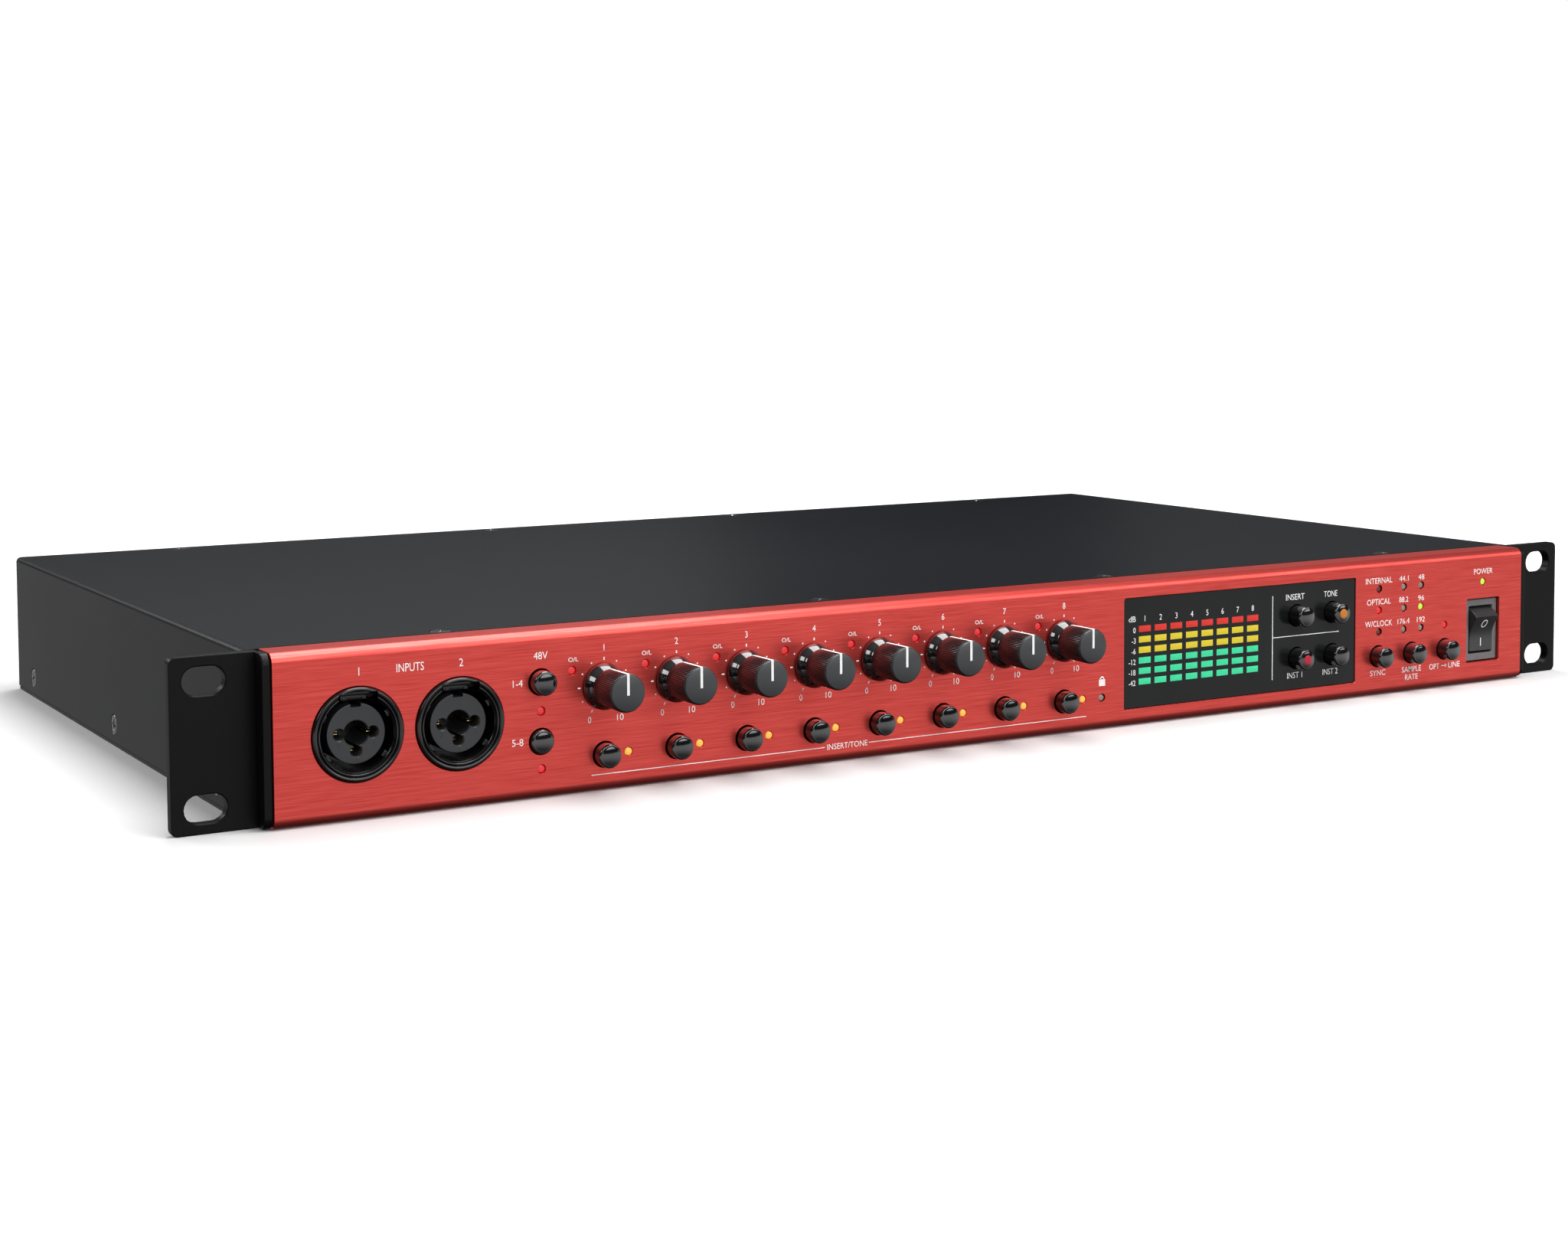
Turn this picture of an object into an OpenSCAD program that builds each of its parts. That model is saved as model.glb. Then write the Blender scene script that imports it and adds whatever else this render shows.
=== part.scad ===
// Eight-channel audio interface in a 19-inch rack case, one unit high.
// X runs to the right, Y to the back and Z up, in millimetres. The origin is
// under the middle of the whole object, on the surface that it stands on.

/* [Case] */
// Width over the two rack ears
rack_w = 482.6; // [482:0.1:483]
// Height of the ears and of the top cover
unit_h = 44.4; // [44:0.1:44.4]
// Width of the body over the top cover
body_w = 443; // [442.8:0.1:443.4]
// Depth from the front panel's face to the cover's back edge
body_d = 251.6; // [246:0.2:270]
// Thickness of the folded steel sheet
sheet = 1.2; // [1:0.1:1.2]
// Outer bend radius of the top cover
bend_r = 1.6; // [1.3:0.1:2]

/* [Front panel] */
// Width of the extruded front panel
fascia_w = 434.8; // [434:0.1:435]
// How far its top and bottom flanges reach back
fascia_d = 10.8; // [10:0.1:10.8]
// Thickness of its front wall
fascia_wall = 3; // [2.6:0.1:3]
// Thickness of its top and bottom flanges
fascia_flange = 1.1; // [0.9:0.1:1.1]
// Radius of its long front edges
fascia_r = 2.6; // [2:0.1:3]
// Gap below and above it
fascia_gap = 0.3; // [0.1:0.1:0.5]

/* [Rack ears] */
// Distance of the ears' front face behind the panel's face
ear_setback = 6.55; // [6:0.05:6.7]
// Thickness of an ear
ear_t = 3.3; // [3:0.1:3.3]
// Length of a mounting slot
slot_l = 11; // [10.5:0.1:11.5]
// Width of a mounting slot
slot_w = 7.2; // [6.8:0.1:7.4]
// Distance between the slots on the left and on the right
slot_span_x = 465.1; // [465.1]
// Distance between the slots of one ear
slot_span_z = 31.75; // [31.75]

/* [Gain knobs] */
// Number of preamplifier channels
channels = 8; // [8]
// Distance between neighbouring channels
channel_pitch = 21.7; // [21.5:0.1:21.8]
// Place of the first channel
channel_x = -126.7; // [-127:0.1:-126.4]
// Height of the knobs' axis
knob_z = 28.3; // [28:0.1:28.6]
// How far a knob stands out of the panel
knob_stand = 14.2; // [13:0.1:15]
// Radius of a knob's skirt
skirt_r = 6.3; // [6:0.1:6.5]
// Radius of a knob's grip
grip_r = 5.2; // [4.9:0.1:5.4]
// Radius of the potentiometer shaft
shaft_r = 2.95; // [2.95]

/* [Buttons] */
// Radius of a round push button
button_r = 3.25; // [3.1:0.05:3.3]
// How far the channel buttons stand out
channel_button_stand = 4.1; // [3.8:0.1:4.5]
// How far the buttons in the meter window stand out
window_button_stand = 5; // [4.6:0.1:5.4]
// How far the clock buttons stand out
clock_button_stand = 4.7; // [4.3:0.1:5]
// How far a phantom power button stands out when released
phantom_button_stand = 3.9; // [3.6:0.1:4.2]
// How much lower a latched phantom power button sits
latch_depth = 2.2; // [2:0.1:2.3]

/* [Combination sockets] */
// Radius of a socket's front ring
socket_ring_r = 12.05; // [11.8:0.05:12.1]
// Radius of the round insulator in a socket
insulator_r = 7.75; // [7.6:0.05:7.8]
// Radius of the jack bore in the insulator
jack_r = 3.25; // [3.25]
// Places of the two front sockets
front_socket_x = [-195.5, -167.9];
// Place of the first rear socket
rear_socket_x = -203.5; // [-204:0.1:-203]
// Distance between rear sockets
rear_socket_pitch = 27; // [26.6:0.1:27]
// Number of rear sockets
rear_sockets = 6; // [6]

/* [Meter] */
// Left and right edge of the meter window
window_x = [48.1, 142.1];
// Lower and upper edge of the meter window
window_z = [5.4, 39];
// Place of the first column of meter bars
bar_x = 56.14; // [56:0.01:56.3]
// Distance between columns of bars
bar_pitch_x = 6.135; // [6.1:0.005:6.15]
// Height of the top row of bars
bar_z = 29.43; // [29.3:0.01:29.5]
// Distance between rows of bars
bar_pitch_z = 3.222; // [3.2:0.002:3.24]
// Width of a meter bar
bar_w = 4.6; // [4.4:0.1:4.8]
// Height of a meter bar
bar_h = 1.9; // [1.8:0.1:2]

/* [Power switch] */
// Place of the rocker switch
rocker_x = 199.7; // [199.5:0.1:200]
// Height of the rocker switch
rocker_z = 18; // [17.8:0.1:18.2]
// Width of the opening in the panel
rocker_opening_w = 15.1; // [15:0.1:15.2]
// Height of the opening in the panel
rocker_opening_h = 21.2; // [21:0.1:21.4]
// Angle between the two positions
rocker_throw = 30; // [24:1:30]

/* [Hidden] */
gain_knobs = [for (i = [1:channels]) str("gain_knob_", i)];
insert_buttons = [for (i = [1:channels]) str("insert_button_", i)];

$fn = 64;
fine = 128;
small = 24;
eps = 0.05;
cut = 1;                       // how far a cutting tool runs past what it cuts

bnc_stand = 10.6;              // the word clock sockets stand out furthest at the back
mid_z = unit_h / 2;
cover_in = body_w / 2 - sheet; // inner face of the cover's sides
cover_under = unit_h - sheet;  // underside of the cover's top
cover_front = ear_setback + ear_t + 0.1;
cover_foot = 1.3;              // lower edge of the cover's sides
rear_face = body_d - 0.2;      // outer face of the rear panel
centre_y = (rear_face + bnc_stand - knob_stand) / 2;
tray_front = 11;               // front edge of the tray's floor
wall_y = 11.4;                 // front face of the tray's front wall
wall_w = 430;
lip = 7;                       // depth of the flanges that take the cover's screws
fascia_top = unit_h - 0.1;
board_y = 9.6;                 // front face of the control board
board_t = 1.6;
switch_y = 6;                  // front face of a push switch
latch_switch_y = 7.2;
stem_r = 1.5;
stem_bore_r = 1.6;

// Screws of the cover: two rows on top and three on each side
top_screw_x = [-167, -51, 51, 167];
top_screw_y = [14.3, rear_face - 4.4];
side_screw_y = [34, 132.6, 231];
side_screw_z = 6.5;
screw_r = 1.45;
screw_head_r = 2.9;
screw_hole_r = 1.55;

// Push buttons on the front panel: place, height
insert_z = 10;
phantom_x = -145.1;
phantom_z = [31, 15.3];
window_button_x = [117.4, 132.4];
window_button_z = [28.9, 15.3];
clock_button_x = [152.1, 166.9, 181.9];
clock_button_z = 13;
channel_xs = [for (i = [0:channels - 1]) channel_x + i * channel_pitch];
insert_spots = [for (x = channel_xs) [x, insert_z]];
phantom_spots = [for (z = phantom_z) [phantom_x, z]];
window_spots = [for (z = window_button_z, x = window_button_x) [x, z]];
clock_spots = [for (x = clock_button_x) [x, clock_button_z]];

// Indicator lamps on the front panel
led_r = 1.15;
led_hole_r = 1.25;
led_recess = 0.3;
overload_leds = [for (x = channel_xs) [x - 9.35, 33.2]];
insert_leds = [for (x = channel_xs) [x + 7.1, insert_z]];
phantom_leds = [[phantom_x, 23.3], [phantom_x, 8]];
clock_led_x = 152.5;
rate_led_x = [163.5, 171.2];
status_z = [34.9, 27.9, 20.9];
line_led = [182, 21];
power_led = [199.6, 34.2];
lock_led = [39.5, 9.8];
lit_red = concat(overload_leds, phantom_leds, [[clock_led_x, status_z[1]], line_led]);
lit_green = [[rate_led_x[1], status_z[1]], power_led];
unlit = concat(
    [[clock_led_x, status_z[0]], [clock_led_x, status_z[2]], lock_led],
    [for (z = status_z) [rate_led_x[0], z]],
    [[rate_led_x[1], status_z[0]], [rate_led_x[1], status_z[2]]]);
led_holes = concat(lit_red, lit_green, unlit, insert_leds);

// Combination sockets
socket_proud = 0.8;            // the ring in front of the panel
socket_recess = 0.9;           // the insulator behind the panel's face
socket_bore_r = 9.7;
socket_box = 26;
socket_depth = 30;
cavity_depth = 17;
contact_ring_r = 4.8;
contact_hole_r = 1.4;
contact_hole_depth = 15;
jack_depth = 26;
rear_socket_xs = [for (i = [0:rear_sockets - 1]) rear_socket_x + i * rear_socket_pitch];

// Rocker switch, measured from the panel's face
rocker_pivot_depth = 4;
rocker_end_r = 7.65;           // the two ends turn on this radius
rocker_face = 2.9;             // distance of each half of its face from the pivot
rocker_w = 10.3;
rocker_well_w = 10.7;
rocker_well_h = 15.9;
bezel_depth = 1.15;
bezel_t = 1;
rocker_body_w = 13;
rocker_body_h = 19.2;
rocker_body_depth = 22;
pivot_r = 1.25;
pivot_bore_r = 1.3;

// Connectors on the rear panel: place, height
inlet = [194.7, mid_z];
inlet_screw_span = 40;
inlet_depth = 26;
terminal_y = [150, 160];       // the power supply's terminal block
wire_z = 18;
row_z = [32.3, 12.1];
dsub_spots = [[128, row_z[0]], [128, row_z[1]], [68, row_z[0]]];
dsub_post_span = 47.1;
network_spots = [[58, row_z[1]], [79, row_z[1]]];
bnc_x = 27;
bnc_spots = [for (z = row_z) [bnc_x, z]];
bus_x = 8;
bus_spots = [for (z = row_z) [bus_x, z]];
optical_spots = [for (z = row_z, x = [-36, -18]) [x, z]];
panel_screws = [[-214, 38.5], [-48, 22.2], [92, 22.2], [161, 22.2]];

// Draws its children on the front panel: x to the right, y up, z out of the panel
module on_front(spot) {
    translate([spot[0], 0, spot[1]]) rotate([90, 0, 0]) children();
}

// The same on the rear panel, seen from behind
module on_rear(spot) {
    translate([spot[0], rear_face, spot[1]]) rotate([0, 0, 180]) rotate([90, 0, 0]) children();
}

module box(low, high) {
    translate(low) cube(high - low);
}

// A plate in the panel's own plane, centred, from z0 to z1
module plate(w, h, z0, z1) {
    translate([-w / 2, -h / 2, z0]) cube([w, h, z1 - z0]);
}

module rod(r, z0, z1, facets = small) {
    translate([0, 0, z0]) cylinder(h = z1 - z0, r = r, $fn = facets);
}

// Profile of the extruded front: rounded front edges, square back
module front_profile(depth, low, high) {
    translate([fascia_r, low]) square([depth - fascia_r, high - low]);
    translate([0, low + fascia_r]) square([fascia_r + eps, high - low - 2 * fascia_r]);
    translate([fascia_r, low + fascia_r]) circle(r = fascia_r);
    translate([fascia_r, high - fascia_r]) circle(r = fascia_r);
}

module along_x(x0, x1) {
    translate([x0, 0, 0]) rotate([90, 0, 90]) linear_extrude(x1 - x0) children();
}

module front_panel() {
    color([0.78, 0.2, 0.17]) difference() {
        along_x(-fascia_w / 2, fascia_w / 2) difference() {
            front_profile(fascia_d, fascia_gap, fascia_top);
            translate([fascia_wall, fascia_gap + fascia_flange])
                square([fascia_d, fascia_top - fascia_gap - 2 * fascia_flange]);
        }
        for (x = front_socket_x) on_front([x, mid_z]) rod(socket_ring_r + 0.1, -5, cut, fine);
        for (x = channel_xs) on_front([x, knob_z]) rod(3.6, -5, cut);
        for (s = concat(insert_spots, phantom_spots, clock_spots))
            on_front(s) rod(button_r + 0.2, -5, cut);
        for (s = led_holes) on_front(s) rod(led_hole_r, -5, cut);
        box([window_x[0] - 0.15, -cut, window_z[0] - 0.15],
            [window_x[1] + 0.15, 5, window_z[1] + 0.15]);
        on_front([rocker_x, rocker_z]) {
            plate(rocker_opening_w, rocker_opening_h, -bezel_depth - bezel_t - eps, cut);
            plate(rocker_body_w + 0.2, rocker_body_h + 0.2, -5, 0);
        }
    }
}

// One ear with its slots, its cheek beside the front panel and the tab inside the cover
module rack_ear() {
    inner = fascia_w / 2 + 0.2;
    tab_y = 42;
    ear_r = 1.8;
    cheek_t = 2.1;
    cheek_setback = 0.55;
    color([0.07, 0.07, 0.08]) difference() {
        union() {
            box([inner, ear_setback, 0], [rack_w / 2 - ear_r, ear_setback + ear_t, unit_h]);
            box([inner, ear_setback, ear_r], [rack_w / 2, ear_setback + ear_t, unit_h - ear_r]);
            for (z = [ear_r, unit_h - ear_r])
                translate([rack_w / 2 - ear_r, ear_setback + ear_t, z])
                    rotate([90, 0, 0]) cylinder(h = ear_t, r = ear_r);
            translate([0, cheek_setback, 0]) along_x(inner, inner + cheek_t)
                front_profile(ear_setback, fascia_gap, fascia_top);
            box([inner, ear_setback, 2], [inner + 1.35, tab_y, unit_h - 2.4]);
        }
        for (z = [mid_z - slot_span_z / 2, mid_z + slot_span_z / 2])
            translate([slot_span_x / 2, ear_setback + ear_t + cut, z]) rotate([90, 0, 0]) {
                for (side = [-1, 1]) translate([side * (slot_l - slot_w) / 2, 0, 0])
                    cylinder(h = ear_t + 2 * cut, d = slot_w);
                plate(slot_l - slot_w, slot_w, 0, ear_t + 2 * cut);
            }
        translate([inner - cut, side_screw_y[0], side_screw_z]) rotate([0, 90, 0])
            cylinder(h = 4, r = screw_hole_r, $fn = small);
    }
}

module rack_ear_right() {
    rack_ear();
}

module rack_ear_left() {
    mirror([1, 0, 0]) rack_ear();
}

// Floor, front wall and side walls of the case, folded from one sheet
module base_tray() {
    side_h = 14;
    socket_opening = [[-209.6, 8.5], [-153.6, 35.8]];
    ribbon_opening = [[-48, 5], [-12, 17]];
    switch_opening = [[rocker_x - 7, rocker_z - 10.2], [rocker_x + 7, rocker_z + 10.2]];
    color([0.1, 0.1, 0.11]) difference() {
        union() {
            box([-body_w / 2 + 0.1, tray_front, 0], [body_w / 2 - 0.1, rear_face, sheet]);
            box([-wall_w / 2, wall_y, 0], [wall_w / 2, wall_y + sheet, cover_under]);
            box([-wall_w / 2, wall_y, cover_under - sheet], [wall_w / 2, wall_y + lip, cover_under]);
            for (side = [0, 1]) mirror([side, 0, 0])
                box([cover_in - 0.1 - sheet, 20, 0], [cover_in - 0.1, rear_face - 9, side_h]);
        }
        for (o = [socket_opening, ribbon_opening, switch_opening])
            box([o[0][0], wall_y - cut, o[0][1]], [o[1][0], wall_y + 2 * cut, o[1][1]]);
        for (x = top_screw_x) translate([x, top_screw_y[0], cover_under - 3])
            cylinder(h = 5, r = screw_hole_r, $fn = small);
        for (y = side_screw_y) translate([-body_w / 2, y, side_screw_z]) rotate([0, 90, 0])
            cylinder(h = body_w, r = screw_hole_r, $fn = small);
    }
}

// Outline of the cover's cross-section: a folded sheet with bent upper corners
module cover_outline(half_w, top, r) {
    translate([-half_w, cover_foot]) square([2 * half_w, top - r - cover_foot]);
    translate([-half_w + r, cover_foot]) square([2 * (half_w - r), top - cover_foot]);
    for (side = [-1, 1]) translate([side * (half_w - r), top - r]) circle(r = r);
}

// Cutting tool for a countersunk hole in the sheet; local z points out of the sheet
module countersink() {
    translate([0, 0, -sheet - 0.2]) cylinder(h = sheet + cut, r = screw_hole_r, $fn = small);
    translate([0, 0, -1.35]) cylinder(h = 1.4, r1 = screw_hole_r, r2 = screw_head_r + 0.2, $fn = 48);
    cylinder(h = cut, r = screw_head_r + 0.2, $fn = 48);
}

module at_cover_screws() {
    for (x = top_screw_x, y = top_screw_y) translate([x, y, unit_h]) children();
    for (side = [0, 1], y = side_screw_y) mirror([side, 0, 0])
        translate([body_w / 2, y, side_screw_z]) rotate([0, 90, 0]) children();
}

module top_cover() {
    notch_w = fascia_w + 0.2;
    color([0.2, 0.2, 0.22]) difference() {
        translate([0, body_d, 0]) rotate([90, 0, 0]) linear_extrude(body_d - cover_front)
            difference() {
                cover_outline(body_w / 2, unit_h, bend_r);
                translate([0, -cut])
                    cover_outline(cover_in, cover_under + cut, bend_r - sheet);
            }
        box([-notch_w / 2, cover_front - cut, cover_under - cut], [notch_w / 2, tray_front, unit_h + cut]);
        at_cover_screws() countersink();
    }
}

// Countersunk cross-head screw; its head lies just under the sheet's face
module countersunk_screw() {
    color([0.16, 0.16, 0.17]) translate([0, 0, -0.1]) difference() {
        union() {
            translate([0, 0, -1.2]) cylinder(h = 1.2, r1 = screw_r, r2 = screw_head_r, $fn = 48);
            translate([0, 0, -6]) cylinder(h = 5, r = screw_r, $fn = small);
        }
        for (turn = [0, 90]) rotate([0, 0, turn]) plate(3, 0.6, -0.9, cut);
    }
}

// Outline of a D-shaped connector: wider at the top
module dsub_outline(grow) {
    polygon([[-19.6 - grow, 4.2 + grow], [19.6 + grow, 4.2 + grow],
             [18 + grow, -4.2 - grow], [-18 - grow, -4.2 - grow]]);
}

module rear_panel() {
    flange_w = 434;
    color([0.1, 0.1, 0.11]) difference() {
        union() {
            box([-cover_in + 0.1, rear_face - sheet, cover_foot], [cover_in - 0.1, rear_face, cover_under - 0.1]);
            for (z = [cover_foot, cover_under - 0.1 - sheet])
                box([-flange_w / 2, rear_face - lip, z], [flange_w / 2, rear_face, z + sheet]);
        }
        for (x = rear_socket_xs) on_rear([x, mid_z]) rod(socket_ring_r + 0.1, -lip - cut, cut, fine);
        on_rear(inlet) plate(27.4, 20, -2, cut);
        for (side = [-1, 1]) on_rear([inlet[0] + side * inlet_screw_span / 2, inlet[1]]) rod(1.6, -2, cut);
        for (s = dsub_spots) on_rear(s) {
            translate([0, 0, -2]) linear_extrude(4) dsub_outline(0.3);
            for (side = [-1, 1]) translate([side * dsub_post_span / 2, 0, 0]) rod(1.6, -2, cut);
        }
        for (s = network_spots) on_rear(s) plate(16.3, 13.5, -2, cut);
        for (s = optical_spots) on_rear(s) plate(9.9, 9.9, -2, cut);
        for (s = bnc_spots) on_rear(s) rod(4.95, -2, cut);
        for (s = bus_spots) on_rear(s) plate(9.3, 3.6, -2, cut);
        for (s = panel_screws) on_rear(s) rod(screw_hole_r, -2, cut);
        for (x = top_screw_x) translate([x, top_screw_y[1], cover_under - 3])
            cylinder(h = 5, r = screw_hole_r, $fn = small);
    }
}

// Low round-headed screw on the outside of a panel, with a cross recess
module pan_screw(standing) {
    color([0.16, 0.16, 0.17]) difference() {
        union() {
            rod(2.8, standing, standing + 1.5, 48);
            rod(screw_r, standing - 7, standing);
        }
        for (turn = [45, 135]) rotate([0, 0, turn]) plate(2.8, 0.6, standing + 0.7, standing + 3);
    }
}

module case_screws() {
    at_cover_screws() countersunk_screw();
    for (s = panel_screws) on_rear(s) pan_screw(0);
    for (side = [-1, 1]) on_rear([inlet[0] + side * inlet_screw_span / 2, inlet[1]]) pan_screw(2);
}

// Hexagonal posts that hold the multi-way connectors
module jack_posts() {
    color([0.7, 0.7, 0.72]) for (s = dsub_spots, side = [-1, 1]) on_rear(s)
        translate([side * dsub_post_span / 2, 0, 0]) difference() {
            union() {
                rod(2.7, 1, 5, 6);
                rod(screw_r, -5, 1);
            }
            rod(1.15, 1.5, 6);
        }
}

// Housing of a combination socket: front ring, round cavity and the block behind the panel
module socket_housing() {
    latch_w = 9.6;
    color([0.06, 0.06, 0.065]) difference() {
        union() {
            rotate_extrude($fn = fine) polygon([
                [0, -fascia_wall - 0.1], [socket_ring_r - 0.15, -fascia_wall - 0.1],
                [socket_ring_r - 0.15, 0], [socket_ring_r, 0.1], [socket_ring_r - 0.25, 0.6],
                [socket_ring_r - 0.9, socket_proud], [10.4, socket_proud], [socket_bore_r, 0.2], [0, 0.2]]);
            plate(socket_box, socket_box, -socket_depth, -fascia_wall - 0.1);
        }
        rod(socket_bore_r, -cavity_depth, 2, fine);
        rod(insulator_r + eps, -socket_depth - cut, 0, fine);
        translate([-latch_w / 2, 0, -cavity_depth]) cube([latch_w, 11, cavity_depth - 0.6]);
    }
}

// Insulator of a combination socket: jack bore, three contact holes and the key on top
module socket_insulator() {
    color([0.22, 0.22, 0.235]) difference() {
        rod(insulator_r, -socket_depth + 2, -socket_recess, fine);
        rod(jack_r, -socket_recess - jack_depth, cut, 48);
        translate([0, 0, -socket_recess - 0.35]) cylinder(h = 0.4, r1 = jack_r, r2 = jack_r + 0.35, $fn = 48);
        for (turn = [0, 180, 270]) rotate([0, 0, turn]) translate([contact_ring_r, 0, 0])
            rod(contact_hole_r, -contact_hole_depth, cut);
        translate([-1.2, insulator_r - 0.8, -cavity_depth]) cube([2.4, 2, cavity_depth + cut]);
    }
}

module socket_contact_set() {
    color([0.85, 0.65, 0.25]) for (turn = [0, 180, 270]) rotate([0, 0, turn])
        translate([contact_ring_r, 0, 0]) rod(contact_hole_r - 0.2, -contact_hole_depth + 0.1, -3.2);
}

module at_sockets() {
    for (x = front_socket_x) on_front([x, mid_z]) children();
    for (x = rear_socket_xs) on_rear([x, mid_z]) children();
}

module socket_housings() {
    at_sockets() socket_housing();
}

module socket_insulators() {
    at_sockets() socket_insulator();
}

module socket_contacts() {
    at_sockets() socket_contact_set();
}

module meter_window() {
    margin = 2;
    w = window_x[1] - window_x[0];
    h = window_z[1] - window_z[0];
    color([0.04, 0.04, 0.045]) difference() {
        on_front([(window_x[0] + window_x[1]) / 2, (window_z[0] + window_z[1]) / 2]) {
            plate(w, h, -fascia_wall - eps, -0.4);
            plate(w + 2 * margin, h + 2 * margin, -fascia_wall - 0.6, -fascia_wall - eps);
        }
        for (s = window_spots) on_front(s) rod(button_r + 0.2, -5, cut);
        for (i = [0:channels - 1], row = [0:5])
            on_front([bar_x + i * bar_pitch_x, bar_z - row * bar_pitch_z])
                plate(bar_w + 0.1, bar_h + 0.1, -5, cut);
    }
}

// Light bars of the level meter: one column a channel, in the given rows
module meter_bars(rows) {
    for (i = [0:channels - 1], row = rows)
        on_front([bar_x + i * bar_pitch_x, bar_z - row * bar_pitch_z])
            plate(bar_w, bar_h, -board_y, -0.45);
}

module meter_bars_red() {
    color([0.9, 0.2, 0.15]) meter_bars([0]);
}

module meter_bars_yellow() {
    color([0.9, 0.8, 0.2]) meter_bars([1, 2]);
}

module meter_bars_green() {
    color([0.25, 0.85, 0.6]) meter_bars([3, 4, 5]);
}

module leds(spots, recess) {
    for (s = spots) on_front(s) rod(led_r, -board_y, -recess);
}

module red_leds() {
    color([1, 0.2, 0.1]) leds(lit_red, led_recess);
}

module amber_leds() {
    color([1, 0.8, 0.4]) leds(insert_leds, 0);
}

module green_leds() {
    color([0.7, 1, 0.3]) leds(lit_green, led_recess);
}

module unlit_leds() {
    color([0.5, 0.5, 0.48]) leds(unlit, led_recess);
}

// Knob with a flared skirt and a pointer groove, and the shaft that it sits on
module gain_knob(i) {
    groove_w = 0.9;
    shaft_end = 10.3;
    color([0.05, 0.05, 0.055]) on_front([channel_xs[i - 1], knob_z]) {
        difference() {
            rotate_extrude($fn = 96) polygon([
                [0, 0.5], [skirt_r, 0.5], [skirt_r, 1.3], [grip_r + 0.35, 3.2], [grip_r, 3.4],
                [grip_r, knob_stand - 0.35], [grip_r - 0.35, knob_stand], [0, knob_stand]]);
            rod(shaft_r + eps, 0, shaft_end + 0.2, 48);
            translate([-groove_w / 2, 0, knob_stand - 0.1]) cube([groove_w, grip_r + cut, cut]);
            translate([-groove_w / 2, grip_r - 0.1, 3.6]) cube([groove_w, cut, knob_stand]);
        }
        rod(shaft_r, -6, shaft_end, 48);
    }
}

// Round push button: cap, retaining flange behind the panel and stem
module push_button(spot, stand, pressed = 0) {
    flange_depth = 3.8 + pressed;
    stem_depth = 6.6 + pressed;
    color([0.05, 0.05, 0.055]) on_front(spot) rotate_extrude($fn = fine) polygon([
        [0, -stem_depth], [stem_r, -stem_depth], [stem_r, -flange_depth - 0.6],
        [button_r + 0.6, -flange_depth - 0.6], [button_r + 0.6, -flange_depth], [button_r, -flange_depth],
        [button_r, stand - 0.5], [button_r - 0.15, stand - 0.15], [button_r - 0.5, stand],
        [0, stand]]);
}

module phantom_button(i, pressed) {
    push_button(phantom_spots[i], phantom_button_stand - pressed, pressed);
}

// Potentiometer: body on the control board and the bushing that guides the knob's shaft
module gain_pots() {
    color([0.3, 0.32, 0.35]) for (x = channel_xs) on_front([x, knob_z]) difference() {
        union() {
            plate(9.5, 11, -board_y, -fascia_wall - 0.2);
            rod(3.4, -fascia_wall - 0.2, -0.8, 48);
        }
        rod(shaft_r + eps, -6.4, 0, 48);
    }
}

module push_switch(spot, face, bore_end) {
    on_front(spot) difference() {
        plate(6, 6, -board_y, -face);
        rod(stem_bore_r, -bore_end, 0);
    }
}

module push_switches() {
    color([0.12, 0.12, 0.13]) {
        for (s = concat(insert_spots, window_spots, clock_spots)) push_switch(s, switch_y, 9);
        for (s = phantom_spots) push_switch(s, latch_switch_y, board_y + cut);
    }
}

// Circuit board behind the panel, with the header for the ribbon cable
module control_board() {
    color([0.05, 0.3, 0.15]) difference() {
        union() {
            box([-150.5, board_y, 3], [190, board_y + board_t, 41]);
            box([-44, board_y, 8], [-16, 16, 14]);
        }
        for (s = phantom_spots) on_front(s) rod(2, -board_y - board_t - cut, 0);
    }
}

// Main circuit board with its larger components
module main_board() {
    low = 6;
    top = low + board_t;
    color([0.05, 0.3, 0.15]) {
        box([-212, 44, low], [95, 214, top]);
        box([-44, 44, top], [-16, 50, 13]);
        for (x = [-196 : 27 : -60]) box([x, 190, top], [x + 12, 206, top + 6]);
        for (x = [-180, -120, -60], y = [90, 140]) box([x, y, top], [x + 14, y + 14, top + 1.6]);
        box([10, 110, top], [38, 138, top + 2.4]);
        for (x = [50 : 12 : 86]) translate([x, 180, top]) cylinder(h = 11, r = 4, $fn = small);
    }
}

// Power supply: board, transformer, two capacitors, heat sink and terminal block
module power_board() {
    low = 6;
    top = low + board_t;
    color([0.4, 0.35, 0.15]) {
        box([104, 60, low], [206, 206, top]);
        box([118, 100, top], [152, 134, top + 26]);
        for (x = [124, 148]) translate([x, 170, top]) cylinder(h = 27, r = 9);
        box([168, 84, top], [171, 140, top + 24]);
        box([184, terminal_y[0], top], [206, terminal_y[1], top + 13]);
    }
}

// Ribbon cable between the boards, and the wires of the inlet, the switch and the supply
module internal_wiring() {
    wire_r = 1.3;
    color([0.6, 0.6, 0.62]) box([-42, 16, 10.6], [-18, 44, 11.5]);
    color([0.15, 0.1, 0.1]) {
        for (x = [197.7, 201.7]) translate([x, rocker_body_depth, wire_z]) rotate([-90, 0, 0])
            cylinder(h = terminal_y[0] - rocker_body_depth, r = wire_r, $fn = small);
        for (x = [188.7, 194.7, 200.7]) translate([x, terminal_y[1], wire_z]) rotate([-90, 0, 0])
            cylinder(h = rear_face - inlet_depth - terminal_y[1], r = wire_r, $fn = small);
    }
}

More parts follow.
